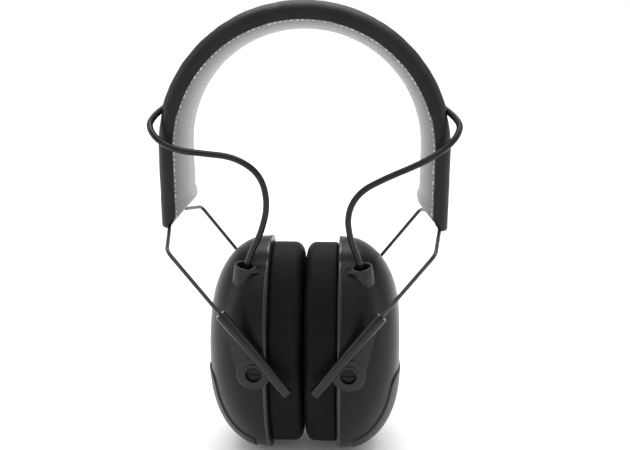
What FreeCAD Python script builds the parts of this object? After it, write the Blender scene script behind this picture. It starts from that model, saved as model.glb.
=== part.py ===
"""Electronic folding-wire earmuff: padded headband, two spring wires, two sliding cups.

Frame: +X towards the wearer's right cup, +Y towards the front of the wearer, +Z up.
The origin is the bottom centre of the bounding box, with the two cushions just touching.
All lengths are in millimetres. Pieces are drawn for the +X side and mirrored where the
other side has the same piece.
"""
import FreeCAD, Part
import math
import os
from FreeCAD import Vector

os.makedirs("parts", exist_ok=True)

# ---- driving dimensions -------------------------------------------------------------
# Headband: a half circle on two straight legs, swept from one cross-section.
ARCH_Z = 159.0              # height of the centre of the half circle
BAND_OUTER_R = 69.0         # outer face of the cover, at the legs and sides
BAND_INNER_R = 61.2         # inner edge of the cover's side walls
BAND_HALF_WIDTH = 21.0
COVER_WALL = 1.2
UPPER_COVER_LIFT = 0.5      # the upper cover laps over the side cover by this much
SLIT_DEG = 17.3             # where upper cover and side cover meet, up the arch
CROWN_GAP_DEG = 0.13        # keeps the two halves apart at the middle of the crown
LINING_EDGE_R = 61.0
LINING_CROWN_R = 56.4       # the pad bulges towards the head
LINING_HALF_WIDTH = 19.6
END_OUTER_Z = 120.7         # slanting lower end of a leg, at the outer face
END_INNER_Z = 126.9         # and at the inner face
END_WALL = 1.5
END_SLOT = 1.9              # each wire's hole through the end wall is a slot, longer by this

# Spring wires.
WIRE_R = 0.95
WIRE_BAND_R = 65.0          # distance from the arch centre inside the band
WIRE_BAND_Y = 17.5
WIRE_BEND_R = 4.0
WIRE_TURN_Z = 122.8         # where a wire turns out of the leg's end towards its arm
WIRE_FIT = 0.12
ARM_Y = 43.7                # plane in which an arm and its bracket lie
ARM_TOP = (60.8, 117.8)     # x and z of the bend where the straight arm starts
ARM_SLOPE = math.radians(52.0)
WIRE_END = 80.0             # wire end, measured down the arm from the bend

# Brackets that slide on the wires and carry the cups.
TUBE_START = 38.2
TUBE_END = 88.3
TUBE_R = 2.65
TUBE_BORE_R = 1.0
PIVOT_ALONG = 71.0          # foot of the pivot on the arm line
PIVOT_OFFSET = 6.75         # pivot centre, beside the arm line
DISC_R = 8.0
PLATE_IN_Y = 40.9
PLATE_OUT_Y = 42.9
DISC_OUT_Y = 44.4           # top of the raised ring round the pin's seat
PIN_R = 3.15
PIN_HEAD_R = 3.8
PIN_SEAT = 0.9              # the head is sunk into the plate by this
PIN_HEAD = 1.2              # thickness of the head
PIN_END_Y = 33.0            # inner end of the pin, behind the shell's wall
PIN_FIT = 0.05
SEAT_RING = 1.2             # width of the raised ring

# Cups: a rounded shell on an oval mouth.
RIM_X = 17.0                # plane of the shell's mouth
CUP_DEPTH = 30.8
CUP_HALF_Y = 40.0
CUP_HALF_Z = 56.2
CUP_Z = 56.6                # height of the cup's centre
CUP_ROUND = 28.0            # radius between side wall and outer face, before stretching
LIP = 0.4                   # bead round the mouth
LIP_WIDTH = 1.5
WALL = 2.4
CUSHION_GAP = 0.15          # each cushion stops this far from the middle plane
CUSHION_HALF_Y = 37.0
CUSHION_HALF_Z = 53.6
EAR_HALF_Y = 20.0
EAR_HALF_Z = 30.0

# Cable between the cups, over the head.
CABLE_R = 1.5
CABLE_FIT = 0.15
GLAND = Vector(28.0, -21.6, 104.6)   # centre of the gland's open end
GLAND_R = 5.3
GLAND_RECESS_R = 4.2
GLAND_RECESS = 4.5
BAND_CABLE_Y = -11.8
BAND_CABLE_DEG = 26.0       # where the cable settles onto its arc inside the band

# Routes of the free cable from each gland to the slit in the headband.
LEFT_ROUTE = [
    (-28.6, -21.2, 100.5), (-25.9, -22.6, 109.6), (-19.6, -25.2, 122.0),
    (-16.0, -27.2, 136.5), (-19.2, -28.3, 150.8), (-31.0, -28.6, 158.8),
    (-45.5, -28.4, 160.2), (-59.0, -27.6, 161.6), (-69.4, -25.8, 167.6),
    (-72.8, -18.2, 175.0), (-63.2, -13.0, 181.2)]
RIGHT_ROUTE = [
    (28.6, -21.2, 100.5), (26.6, -22.6, 108.6), (22.4, -25.2, 119.0),
    (20.8, -27.2, 132.0), (26.2, -28.3, 142.8), (38.6, -28.6, 149.6),
    (52.2, -28.4, 155.4), (63.2, -27.6, 161.4), (71.0, -24.8, 168.4),
    (72.8, -18.2, 175.0), (63.2, -13.0, 181.2)]
ROUTE_SHARE = 0.45

# Lower outer panel of each cup: a battery door on the left, a fixed cover on the right.
PANEL_HALF_Y = 26.0
PANEL_LOW_Z = 3.0
PANEL_TOP_Z = 49.4
PANEL_PROUD = 0.7
PANEL_SUNK = 1.5
PANEL_GAP = 0.3
HINGE_X = 46.7
HINGE_Z = 50.3
HINGE_R = 1.5
HINGE_HALF_Y = 7.0
HINGE_PIN_R = 0.7
LUG_FROM_Y = 7.2            # the shell's two lugs hold the hinge pin
LUG_TO_Y = 10.2
RELIEF_R = 2.7              # room in the shell for the door's upper edge as it swings
RELIEF_HALF_Y = 23.0
RELIEF_FROM_X = 45.9

# Inside each cup.
PLATE_X = 18.6
PLATE_THICK = 2.2
SPEAKER_R = 14.8
COLLAR_R = 15.0
POST_R = 3.0
PLATE_SCREWS = [(-14.5, 78.0), (14.5, 78.0)]
BOARD_SCREWS = [(-8.6, 56.0), (8.6, 56.0), (-8.6, 89.0), (8.6, 89.0)]
BOARD_X = 33.0
BOARD_THICK = 1.6
BATTERY_R = 5.25
BATTERY_LENGTH = 44.5
BATTERY_CENTRES = [(35.8, 43.4), (32.4, 32.0)]
TRAY_LOW = Vector(26.0, -26.3, 25.6)
TRAY_HIGH = Vector(60.0, 26.3, 50.0)
TRAY_WALL = 1.1
KNOB = Vector(32.5, 32.6, 35.0)      # centre of the knob's seat on the front face
KNOB_R = 8.5
KNOB_HEIGHT = 7.5
JACK = Vector(24.3, 33.2, 23.5)      # mouth of the audio socket, facing forward
JACK_BORE_R = 1.77
JACK_DEPTH = 14.0
MICROPHONE = Vector(40.0, 28.2, 74.0)
MICROPHONE_AXIS = Vector(0.70, 0.66, 0.24).normalize()
GRILLE_R = 6.5

Y_AXIS = Vector(0, 1, 0)
X_AXIS = Vector(1, 0, 0)
Z_AXIS = Vector(0, 0, 1)
ARCH_CENTRE = Vector(0, 0, ARCH_Z)
ARM_DIRECTION = Vector(-math.cos(ARM_SLOPE), 0, -math.sin(ARM_SLOPE))
ARM_NORMAL = Vector(math.sin(ARM_SLOPE), 0, -math.cos(ARM_SLOPE))


# ---- small helpers ------------------------------------------------------------------
def save(name, shape):
    """Write one node and print what it holds."""
    good = all(solid.isValid() for solid in shape.Solids)
    print(f"{name:26s} solids {len(shape.Solids)} volume {shape.Volume:9.1f} valid {good}")
    shape.exportStep(f"parts/{name}.step")


def mirrored(shape):
    """The same piece on the other side of the middle plane."""
    return shape.mirror(Vector(0, 0, 0), X_AXIS)


def save_pair(name, shape):
    """Write a piece and its mirror image."""
    save("right_" + name, shape)
    save("left_" + name, mirrored(shape))


def box(low, high):
    """A box between two corners."""
    size = high - low
    return Part.makeBox(size.x, size.y, size.z, low)


def rod(radius, start, end):
    """A round bar between two points."""
    return Part.makeCylinder(radius, (end - start).Length, start, end - start)


def fused(shapes):
    """Several solids as one."""
    whole = shapes[0]
    for shape in shapes[1:]:
        whole = whole.fuse(shape)
    return whole.removeSplitter()


def drilled(shape, tools):
    """A shape with several tools cut out of it."""
    for tool in tools:
        shape = shape.cut(tool)
    return shape


def face_of(points):
    """A flat face inside a closed outline of straight sides."""
    return Part.Face(Part.makePolygon(points + [points[0]]))


def on_arch(radius, degrees, y=0.0):
    """A point on the arch, at an angle above the level of its centre."""
    turn = math.radians(degrees)
    return Vector(radius * math.cos(turn), y, ARCH_Z + radius * math.sin(turn))


def arm_point(along, y, offset=0.0):
    """A point in an arm's plane, down the arm from its bend and beside it."""
    start = Vector(ARM_TOP[0], y, ARM_TOP[1])
    return start + ARM_DIRECTION * along + ARM_NORMAL * offset


def route_edges(points, radii):
    """Straight runs joined by tangent arcs, with one radius for each inner point."""
    edges = []
    last = points[0]
    for here, before, after, radius in zip(points[1:-1], points, points[2:], radii):
        arrive = (here - before).normalize()
        leave = (after - here).normalize()
        half_turn = arrive.getAngle(leave) / 2
        reach = radius * math.tan(half_turn)
        start = here - arrive * reach
        end = here + leave * reach
        inward = (leave - arrive).normalize()
        middle = here + inward * (radius / math.cos(half_turn) - radius)
        edges.append(Part.LineSegment(last, start).toShape())
        edges.append(Part.Arc(start, middle, end).toShape())
        last = end
    edges.append(Part.LineSegment(last, points[-1]).toShape())
    return edges


def tube_along(edges, radius):
    """A round bar along joined edges."""
    path = Part.Wire(edges)
    start = edges[0].valueAt(edges[0].FirstParameter)
    heading = edges[0].tangentAt(edges[0].FirstParameter)
    ring = Part.Wire(Part.makeCircle(radius, start, heading))
    solid = path.makePipeShell([ring], True, False)
    expected = math.pi * radius ** 2 * path.Length
    print(f"  tube length {path.Length:.1f} volume over section x length {solid.Volume / expected:.4f}")
    return solid


# ---- headband -----------------------------------------------------------------------
def band_sweep(section, from_deg=0.0, to_deg=90.0 - CROWN_GAP_DEG, leg=True):
    """Sweep a section, drawn at the arch's springing, down the leg and round the arch."""
    pieces = []
    if leg:
        pieces.append(section.extrude(Vector(0, 0, END_OUTER_Z - ARCH_Z)))
    turned = section.copy()
    turned.rotate(ARCH_CENTRE, Y_AXIS, -from_deg)
    pieces.append(turned.revolve(ARCH_CENTRE, Y_AXIS, -(to_deg - from_deg)))
    return fused(pieces)


def band_rectangle(inner_r, outer_r, half_width):
    """A rectangular section of the band."""
    return face_of([Vector(inner_r, -half_width, ARCH_Z), Vector(outer_r, -half_width, ARCH_Z),
                    Vector(outer_r, half_width, ARCH_Z), Vector(inner_r, half_width, ARCH_Z)])


def channel_section(outer_r):
    """The cover's section: outer wall and two side walls, open towards the head."""
    side = BAND_HALF_WIDTH
    inside = side - COVER_WALL
    floor = outer_r - COVER_WALL
    corners = [(BAND_INNER_R, -side), (outer_r, -side), (outer_r, side), (BAND_INNER_R, side),
               (BAND_INNER_R, inside), (floor, inside), (floor, -inside), (BAND_INNER_R, -inside)]
    return face_of([Vector(r, y, ARCH_Z) for r, y in corners])


def below_leg_end(lift):
    """Everything under the slanting end of a leg, moved up by lift."""
    slope = (END_INNER_Z - END_OUTER_Z) / (BAND_OUTER_R - BAND_INNER_R)
    beyond = 10.0
    inner_x = BAND_INNER_R - beyond
    outer_x = BAND_OUTER_R + beyond
    low_z = END_OUTER_Z - 60
    corners = [(inner_x, END_INNER_Z + beyond * slope + lift),
               (outer_x, END_OUTER_Z - beyond * slope + lift), (outer_x, low_z), (inner_x, low_z)]
    face = face_of([Vector(x, -2 * BAND_HALF_WIDTH, z) for x, z in corners])
    return face.extrude(Y_AXIS * 4 * BAND_HALF_WIDTH)


def wire_holes(radius):
    """The two channels that the spring wires run in."""
    tools = []
    for y in (-WIRE_BAND_Y, WIRE_BAND_Y):
        ring = Part.Face(Part.Wire(Part.makeCircle(radius, Vector(WIRE_BAND_R, y, ARCH_Z), Z_AXIS)))
        tools.append(band_sweep(ring))
    return tools


def cable_tunnel(route, radius):
    """The hole that the free cable takes through the cover, on the +X side."""
    before, end = [Vector(abs(x), y, z) for x, y, z in route[-2:]]
    return rod(radius, before, end + (end - before).normalize() * 0.4)


def make_side_cover(route):
    """Lower section of the cover, with the closed lower end of the leg."""
    channel = band_sweep(channel_section(BAND_OUTER_R), to_deg=SLIT_DEG)
    channel = channel.cut(below_leg_end(0))
    solid = band_rectangle(BAND_INNER_R, BAND_OUTER_R, BAND_HALF_WIDTH)
    leg = solid.extrude(Vector(0, 0, END_OUTER_Z - ARCH_Z))
    end_wall = leg.cut(below_leg_end(0)).common(below_leg_end(END_WALL))
    cover = fused([channel, end_wall])
    holes = []
    hole_r = WIRE_R + WIRE_FIT
    for side in (-1, 1):
        foot = Vector(WIRE_BAND_R, side * WIRE_BAND_Y, END_OUTER_Z - 5)
        holes.append(rod(hole_r, foot, foot + Z_AXIS * 20))
        inner, outer = sorted((foot.y, foot.y + side * END_SLOT))
        holes.append(box(Vector(WIRE_BAND_R - hole_r, inner, foot.z),
                         Vector(WIRE_BAND_R + hole_r, outer, END_INNER_Z)))
    return drilled(cover, holes + [cable_tunnel(route, CABLE_R + CABLE_FIT)])


def make_upper_cover(route):
    """Upper section of the cover, a little proud of the side section."""
    section = channel_section(BAND_OUTER_R + UPPER_COVER_LIFT)
    cover = band_sweep(section, SLIT_DEG + 0.1, leg=False)
    return cover.cut(cable_tunnel(route, CABLE_R + CABLE_FIT))


def make_foam(route):
    """Foam core between cover and lining, with channels for wires and cable."""
    section = band_rectangle(LINING_EDGE_R + 1.8, BAND_OUTER_R - COVER_WALL - 0.1, LINING_HALF_WIDTH)
    foam = band_sweep(section).cut(below_leg_end(END_WALL + 0.1))
    tunnel = cable_tunnel(route, CABLE_R + CABLE_FIT)
    return drilled(foam, wire_holes(WIRE_R + 0.1) + [make_band_cable(0.1), tunnel])


def make_lining():
    """Padded lining that rests on the head, fullest along its middle."""
    edge = LINING_HALF_WIDTH
    back = LINING_EDGE_R + 1.7
    arc = Part.Arc(Vector(LINING_EDGE_R, edge, ARCH_Z), Vector(LINING_CROWN_R, 0, ARCH_Z),
                   Vector(LINING_EDGE_R, -edge, ARCH_Z)).toShape()
    sides = Part.makePolygon([Vector(LINING_EDGE_R, -edge, ARCH_Z), Vector(back, -edge, ARCH_Z),
                              Vector(back, edge, ARCH_Z), Vector(LINING_EDGE_R, edge, ARCH_Z)])
    section = Part.Face(Part.Wire(sides.Edges + [arc]))
    return band_sweep(section).cut(below_leg_end(END_WALL + 0.1))


def make_band_cable(grow=0.0):
    """The stretch of cable inside the headband, from the slit to the crown."""
    radius = CABLE_R + grow
    before, end = [Vector(*point) for point in RIGHT_ROUTE[-2:]]
    inward = (end - before).normalize()
    start = end + inward * 0.05
    knee = end + inward * 3.0
    joint = on_arch(WIRE_BAND_R, BAND_CABLE_DEG, BAND_CABLE_Y)
    turn = math.radians(BAND_CABLE_DEG)
    approach = joint + Vector(math.sin(turn), 0, -math.cos(turn)) * 3.0
    arch = Part.Arc(joint, on_arch(WIRE_BAND_R, 58, BAND_CABLE_Y),
                    on_arch(WIRE_BAND_R, 90 - CROWN_GAP_DEG, BAND_CABLE_Y)).toShape()
    return tube_along(route_edges([start, knee, approach, joint], [4.0, 2.0]) + [arch], radius)


def make_wire(side):
    """One spring wire from the crown to the free end of its arm; side is -1 rear, 1 front."""
    y = side * WIRE_BAND_Y
    crown = Part.Arc(on_arch(WIRE_BAND_R, 90 - CROWN_GAP_DEG, y), on_arch(WIRE_BAND_R, 45, y),
                     on_arch(WIRE_BAND_R, 0, y)).toShape()
    points = [Vector(WIRE_BAND_R, y, ARCH_Z), Vector(WIRE_BAND_R, y, WIRE_TURN_Z),
              arm_point(0, side * ARM_Y), arm_point(WIRE_END, side * ARM_Y)]
    edges = [crown] + route_edges(points, [WIRE_BEND_R, WIRE_BEND_R])
    return tube_along(edges, WIRE_R)


# ---- brackets and pivot pins --------------------------------------------------------
PIVOT = arm_point(PIVOT_ALONG, 0, PIVOT_OFFSET)


def across(radius, x, z, y_from, y_to):
    """A round bar parallel to Y."""
    return rod(radius, Vector(x, y_from, z), Vector(x, y_to, z))


def make_bracket():
    """Front bracket: a tube for the wire, a web and a disc round the pivot."""
    tube = rod(TUBE_R, arm_point(TUBE_START, ARM_Y), arm_point(TUBE_END, ARM_Y))
    disc = across(DISC_R, PIVOT.x, PIVOT.z, PLATE_IN_Y, PLATE_OUT_Y + 0.6)
    disc = disc.makeChamfer(0.35, [disc.Edges[0], disc.Edges[2]])
    ring = across(PIN_HEAD_R + SEAT_RING, PIVOT.x, PIVOT.z, PLATE_OUT_Y, DISC_OUT_Y)
    start = arm_point(TUBE_START + 3.0, 0, 1.2)
    to_pivot = PIVOT - start
    swing = math.asin((DISC_R - 0.3) / to_pivot.Length)
    tangent = FreeCAD.Rotation(Y_AXIS, -math.degrees(swing)).multVec(to_pivot)
    tangent = tangent.normalize() * (to_pivot.Length * math.cos(swing))
    corners = [start, start + tangent, PIVOT, arm_point(TUBE_END - 10, 0, 1.2),
               arm_point(TUBE_END - 10, 0, 0), arm_point(TUBE_START + 3.0, 0, 0)]
    web = face_of([Vector(p.x, PLATE_IN_Y, p.z) for p in corners])
    web = web.extrude(Vector(0, PLATE_OUT_Y - PLATE_IN_Y, 0))
    body = fused([tube, disc, ring, web])
    bore = rod(TUBE_BORE_R, arm_point(0, ARM_Y), arm_point(TUBE_END + 5, ARM_Y))
    hole = across(PIN_R + PIN_FIT, PIVOT.x, PIVOT.z, 30, 50)
    seat = across(PIN_HEAD_R + PIN_FIT, PIVOT.x, PIVOT.z, PLATE_OUT_Y - PIN_SEAT - 0.1, 50)
    return drilled(body, [bore, hole, seat])


def make_pin():
    """Front pivot pin: slotted head, round shank and a snap ring behind the shell's boss."""
    head_in = PLATE_OUT_Y - PIN_SEAT
    head_out = head_in + PIN_HEAD
    head = across(PIN_HEAD_R, PIVOT.x, PIVOT.z, head_in, head_out)
    shank = across(PIN_R, PIVOT.x, PIVOT.z, PIN_END_Y, head_in)
    snap = across(PIN_R + 0.6, PIVOT.x, PIVOT.z, PIN_END_Y, PIN_END_Y + 1.2)
    slot = box(Vector(PIVOT.x - 5, head_out - 0.6, PIVOT.z - 0.6),
               Vector(PIVOT.x + 5, head_out + 1, PIVOT.z + 0.6))
    split = box(Vector(PIVOT.x - 0.5, PIN_END_Y - 1, PIVOT.z - 5),
                Vector(PIVOT.x + 0.5, PIN_END_Y + 5, PIVOT.z + 5))
    return drilled(fused([head, shank, snap]), [slot, split])


def front_and_rear(shape):
    """A piece on the front face and its mirror image on the rear face."""
    return shape, shape.mirror(Vector(0, 0, 0), Y_AXIS)


# ---- cups ---------------------------------------------------------------------------
def oval_plate(x_from, x_to, half_y, half_z):
    """A flat oval plate."""
    oval = Part.Ellipse(Vector(x_from, 0, CUP_Z + half_z), Vector(x_from, half_y, CUP_Z),
                        Vector(x_from, 0, CUP_Z))
    return Part.Face(Part.Wire(oval.toShape())).extrude(Vector(x_to - x_from, 0, 0))


def cup_solid(grow=0.0, start_x=RIM_X):
    """The cup's rounded body, grown or shrunk by the same amount on every half axis.

    A round dish is turned about the cup's own axis and then stretched in height.
    """
    radius = CUP_HALF_Y + grow
    end_x = RIM_X + CUP_DEPTH + grow
    bend = CUP_ROUND + grow
    middle = bend * math.sqrt(0.5)
    arc = Part.Arc(Vector(end_x - bend, radius, 0),
                   Vector(end_x - bend + middle, radius - bend + middle, 0),
                   Vector(end_x, radius - bend, 0)).toShape()
    before = Part.makePolygon([Vector(end_x, 0, 0), Vector(start_x, 0, 0), Vector(start_x, radius, 0),
                               Vector(end_x - bend, radius, 0)])
    after = Part.makePolygon([Vector(end_x, radius - bend, 0), Vector(end_x, 0, 0)])
    profile = Part.Face(Part.Wire(before.Edges + [arc] + after.Edges))
    dish = profile.revolve(Vector(0, 0, 0), X_AXIS, 360)
    stretch = FreeCAD.Matrix()
    stretch.scale(Vector(1, 1, (CUP_HALF_Z + grow) / radius))
    stretch.move(Vector(0, 0, CUP_Z))
    return dish.transformGeometry(stretch)


def panel_prism(grow):
    """The outline of the lower outer panel, driven through the cup along X."""
    low = Vector(25, -PANEL_HALF_Y - grow, PANEL_LOW_Z - grow)
    high = Vector(60, PANEL_HALF_Y + grow, PANEL_TOP_Z + grow)
    block = box(low, high)
    long_edges = [edge for edge in block.Edges if abs(edge.tangentAt(0).x) > 0.9]
    return block.makeFillet(6.0, long_edges)


def make_panel():
    """The panel's skin, just proud of the shell."""
    return CUP_PROUD.cut(CUP_SUNK).common(panel_prism(0))


def make_shell(is_left):
    """Outer shell with its posts, bosses and openings, drawn on the +X side."""
    mouth = oval_plate(RIM_X, RIM_X + LIP_WIDTH, CUP_HALF_Y + LIP, CUP_HALF_Z + LIP)
    bosses = [across(4.9, PIVOT.x, PIVOT.z, y * 34.6, y * (PLATE_IN_Y - 0.25)) for y in (-1, 1)]
    posts = [rod(POST_R, Vector(PLATE_X + PLATE_THICK + 0.05, y, z), Vector(60, y, z))
             for y, z in PLATE_SCREWS]
    if not is_left:
        posts += [rod(2.4, Vector(BOARD_X + BOARD_THICK + 0.05, y, z), Vector(60, y, z))
                  for y, z in BOARD_SCREWS]
    backing = CUP_SUNK_MORE.cut(CUP_BACKING).common(panel_prism(2.5))
    shell = CUP_OUTER.fuse(mouth).cut(CUP_INNER)
    for part in bosses + [post.common(CUP_OUTER) for post in posts] + [backing]:
        shell = shell.fuse(part)
    tools = [CUP_PROUD_MORE.cut(CUP_SUNK_MORE).common(panel_prism(PANEL_GAP))]
    tools += [across(PIN_R + 0.02, PIVOT.x, PIVOT.z, y * 30, y * 50) for y in (-1, 1)]
    tools += [rod(1.15, Vector(PLATE_X, y, z), Vector(30, y, z)) for y, z in PLATE_SCREWS]
    tools.append(gland_bar(3.5, -12, 2))
    tools.append(rod(GRILLE_R + 0.1, MICROPHONE - MICROPHONE_AXIS * 1.6, MICROPHONE + MICROPHONE_AXIS * 9))
    tools.append(rod(3.1, MICROPHONE - MICROPHONE_AXIS * 9, MICROPHONE))
    if is_left:
        opening_low = TRAY_LOW + Vector(TRAY_WALL, TRAY_WALL, TRAY_WALL)
        opening_high = TRAY_HIGH - Vector(0, TRAY_WALL, TRAY_WALL)
        tools.append(box(opening_low, opening_high))
        tools.append(across(HINGE_R + 0.3, HINGE_X, HINGE_Z, -LUG_FROM_Y, LUG_FROM_Y))
        tools += hinge_relief()
        tools.append(across(HINGE_PIN_R + 0.02, HINGE_X, HINGE_Z, -HINGE_HALF_Y - 3, HINGE_HALF_Y + 3))
    else:
        tools += [rod(1.0, Vector(BOARD_X, y, z), Vector(BOARD_X + 7, y, z)) for y, z in BOARD_SCREWS]
        tools.append(rod(KNOB_R + 0.5, KNOB, KNOB + Y_AXIS * 20))
        tools.append(rod(3.6, KNOB - Y_AXIS * 10, KNOB + Y_AXIS * 5))
        tools.append(rod(3.1, JACK - Y_AXIS * 10, JACK + Y_AXIS * 10))
    return drilled(shell, tools)


def hinge_relief():
    """Room for the door's upper edge, with a lug left standing at each end of the knuckle."""
    outside = box(Vector(RELIEF_FROM_X, -RELIEF_HALF_Y, HINGE_Z - 5),
                  Vector(RELIEF_FROM_X + 10, RELIEF_HALF_Y, HINGE_Z + 5))
    spans = [(-RELIEF_HALF_Y, -LUG_TO_Y), (-LUG_FROM_Y, LUG_FROM_Y), (LUG_TO_Y, RELIEF_HALF_Y)]
    return [across(RELIEF_R, HINGE_X, HINGE_Z, start, end).common(outside) for start, end in spans]


def gland_axis():
    """The gland leans towards the middle and a little backwards."""
    return Vector(-0.16, -0.12, 0.98).normalize()


def gland_bar(radius, start, end):
    """A round bar on the gland's axis, from start to end above its open end."""
    axis = gland_axis()
    return rod(radius, GLAND + axis * start, GLAND + axis * end)


def make_gland():
    """Cup-shaped cable gland: open socket above the shell and a stem through its wall."""
    collar = gland_bar(GLAND_R, -9, 0).cut(CUP_GLAND)
    stem = gland_bar(3.45, -11, -2)
    nub = rod(0.9, GLAND + Vector(-3, -3, -2.4), GLAND + Vector(-6.2, -2.6, -2.2))
    body = fused([collar, stem, nub.cut(CUP_GLAND)])
    recess = gland_bar(GLAND_RECESS_R, -GLAND_RECESS, 1)
    hole = gland_bar(CABLE_R + 0.1, -12, 0)
    return drilled(body, [recess, hole])


def make_inner_plate():
    """Plate across the shell's mouth, with sound holes and the speaker's collar."""
    x_back = PLATE_X + PLATE_THICK
    plate = oval_plate(PLATE_X, x_back, CUP_HALF_Y - WALL - 0.4, CUP_HALF_Z - WALL - 0.4)
    collar = rod(COLLAR_R + 1.5, Vector(x_back - 0.2, 0, CUP_Z), Vector(x_back + 3.2, 0, CUP_Z))
    well = rod(COLLAR_R, Vector(x_back, 0, CUP_Z), Vector(x_back + 6, 0, CUP_Z))
    plate = fused([plate, collar]).cut(well)
    tools = [rod(1.4, Vector(10, y, z), Vector(40, y, z)) for y, z in PLATE_SCREWS]
    tools.append(rod(1.8, Vector(10, 0, CUP_Z), Vector(30, 0, CUP_Z)))
    for step in range(6):
        turn = math.radians(60 * step)
        y = 7.5 * math.cos(turn)
        z = CUP_Z + 7.5 * math.sin(turn)
        tools.append(rod(1.8, Vector(10, y, z), Vector(30, y, z)))
    tools += [across(5.2, PIVOT.x, PIVOT.z, side * 32.6, side * 50) for side in (-1, 1)]
    return drilled(plate, tools)


def make_cushion_ring():
    """Oval ring that the cushion is stretched over and that snaps into the shell."""
    low = RIM_X - 0.25
    ring = oval_plate(low, PLATE_X - 0.15, CUSHION_HALF_Y - 0.2, CUSHION_HALF_Z - 0.2)
    opening = oval_plate(low - 1, PLATE_X + 1, 23.8, 33.8)
    notches = [across(5.2, PIVOT.x, PIVOT.z, side * 32.6, side * 50) for side in (-1, 1)]
    return drilled(ring.cut(opening), notches)


def make_cushion():
    """Plain closed form of the ear cushion, with the opening for the ear."""
    pad = oval_plate(CUSHION_GAP, RIM_X - 0.35, CUSHION_HALF_Y, CUSHION_HALF_Z)
    front = [edge for edge in pad.Edges if edge.BoundBox.XMax < 1]
    pad = pad.makeFillet(5.5, front)
    return pad.cut(oval_plate(-1, RIM_X + 1, EAR_HALF_Y, EAR_HALF_Z))


def make_foam_liner():
    """Thin foam pad that covers the plate inside the cushion."""
    pad = oval_plate(13.4, PLATE_X - 0.1, 22.8, 32.8)
    trimmed = pad.cut(oval_plate(10, RIM_X - 0.3, 60, 61).cut(
        oval_plate(9, RIM_X + 1, EAR_HALF_Y - 0.3, EAR_HALF_Z - 0.3)))
    heads = [rod(3.0, Vector(16.6, y, z), Vector(20, y, z)) for y, z in PLATE_SCREWS]
    return drilled(trimmed, heads)


def make_speaker():
    """Round driver: frame, domed back and magnet."""
    x = PLATE_X + PLATE_THICK + 0.05
    frame = rod(SPEAKER_R, Vector(x, 0, CUP_Z), Vector(x + 2.2, 0, CUP_Z))
    basket = Part.makeCone(SPEAKER_R - 0.8, 6.5, 2.4, Vector(x + 2.2, 0, CUP_Z), X_AXIS)
    magnet = rod(6.0, Vector(x + 4.4, 0, CUP_Z), Vector(x + 7.6, 0, CUP_Z))
    return fused([frame, basket, magnet])


def make_screws(places, x_head, shank_r, head_r, length):
    """A group of identical screws that point away from the ear."""
    screws = []
    for y, z in places:
        head = rod(head_r, Vector(x_head - 1.5, y, z), Vector(x_head, y, z))
        shank = rod(shank_r, Vector(x_head - 0.1, y, z), Vector(x_head + length, y, z))
        slot_a = box(Vector(x_head - 2, y - 1.3, z - 0.25), Vector(x_head - 0.8, y + 1.3, z + 0.25))
        slot_b = box(Vector(x_head - 2, y - 0.25, z - 1.3), Vector(x_head - 0.8, y + 0.25, z + 1.3))
        screws.append(drilled(fused([head, shank]), [slot_a, slot_b]))
    return Part.makeCompound(screws)


def make_microphone():
    """Round microphone capsule in the shell's wall, under its grille."""
    return rod(3.0, MICROPHONE - MICROPHONE_AXIS * 5.4, MICROPHONE - MICROPHONE_AXIS * 1.75)


def make_grille():
    """Round grille with rings of sound holes."""
    disc = rod(GRILLE_R, MICROPHONE - MICROPHONE_AXIS * 1.5, MICROPHONE + MICROPHONE_AXIS * 1.0)
    rim = [edge for edge in disc.Edges if edge.Curve.TypeId == "Part::GeomCircle"]
    rim = [e for e in rim if (e.Curve.Center - MICROPHONE).dot(MICROPHONE_AXIS) > 0]
    disc = disc.makeFillet(0.8, rim)
    sideways = MICROPHONE_AXIS.cross(Z_AXIS).normalize()
    upward = sideways.cross(MICROPHONE_AXIS)
    holes = []
    for count, radius in ((1, 0.0), (6, 2.0), (12, 4.1)):
        for step in range(count):
            turn = 2 * math.pi * step / count
            spot = MICROPHONE + sideways * (radius * math.cos(turn)) + upward * (radius * math.sin(turn))
            holes.append(rod(0.5, spot - MICROPHONE_AXIS * 3, spot + MICROPHONE_AXIS * 3))
    return drilled(disc, holes)


# ---- controls, socket and board, in the right cup -----------------------------------
def make_knob():
    """Ribbed volume knob on the potentiometer's shaft."""
    seat = KNOB + Y_AXIS * 0.3
    knob = rod(KNOB_R, seat, seat + Y_AXIS * KNOB_HEIGHT)
    knob = knob.makeChamfer(0.8, [e for e in knob.Edges if e.BoundBox.YMin > seat.y + KNOB_HEIGHT - 0.1])
    tools = [rod(2.05, seat - Y_AXIS, seat + Y_AXIS * 5)]
    for step in range(24):
        turn = 2 * math.pi * step / 24
        spot = seat + Vector(KNOB_R * math.cos(turn), 1.5, KNOB_R * math.sin(turn))
        tools.append(rod(0.5, spot, spot + Y_AXIS * 10))
    mark = seat + Vector(0, KNOB_HEIGHT, 0)
    tools.append(box(mark + Vector(-0.5, -0.5, 3.5), mark + Vector(0.5, 1, 7.6)))
    return drilled(knob, tools)


def make_potentiometer():
    """Body behind the shell's wall, threaded neck and shaft."""
    body = rod(5.0, KNOB - Y_AXIS * 13.5, KNOB - Y_AXIS * 8.6)
    neck = rod(3.4, KNOB - Y_AXIS * 8.7, KNOB - Y_AXIS * 0.1)
    shaft = rod(2.0, KNOB - Y_AXIS * 0.2, KNOB + Y_AXIS * 4.6)
    return fused([body, neck, shaft])


def make_jack():
    """Socket for a 3.5 mm audio plug."""
    mouth = JACK
    body = box(mouth + Vector(-3.3, -17, -3.3), mouth + Vector(3.3, -8.0, 3.3))
    collar = rod(3.0, mouth - Y_AXIS * 8.1, mouth)
    bore = rod(JACK_BORE_R, mouth - Y_AXIS * JACK_DEPTH, mouth + Y_AXIS)
    return fused([body, collar]).cut(bore)


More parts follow.
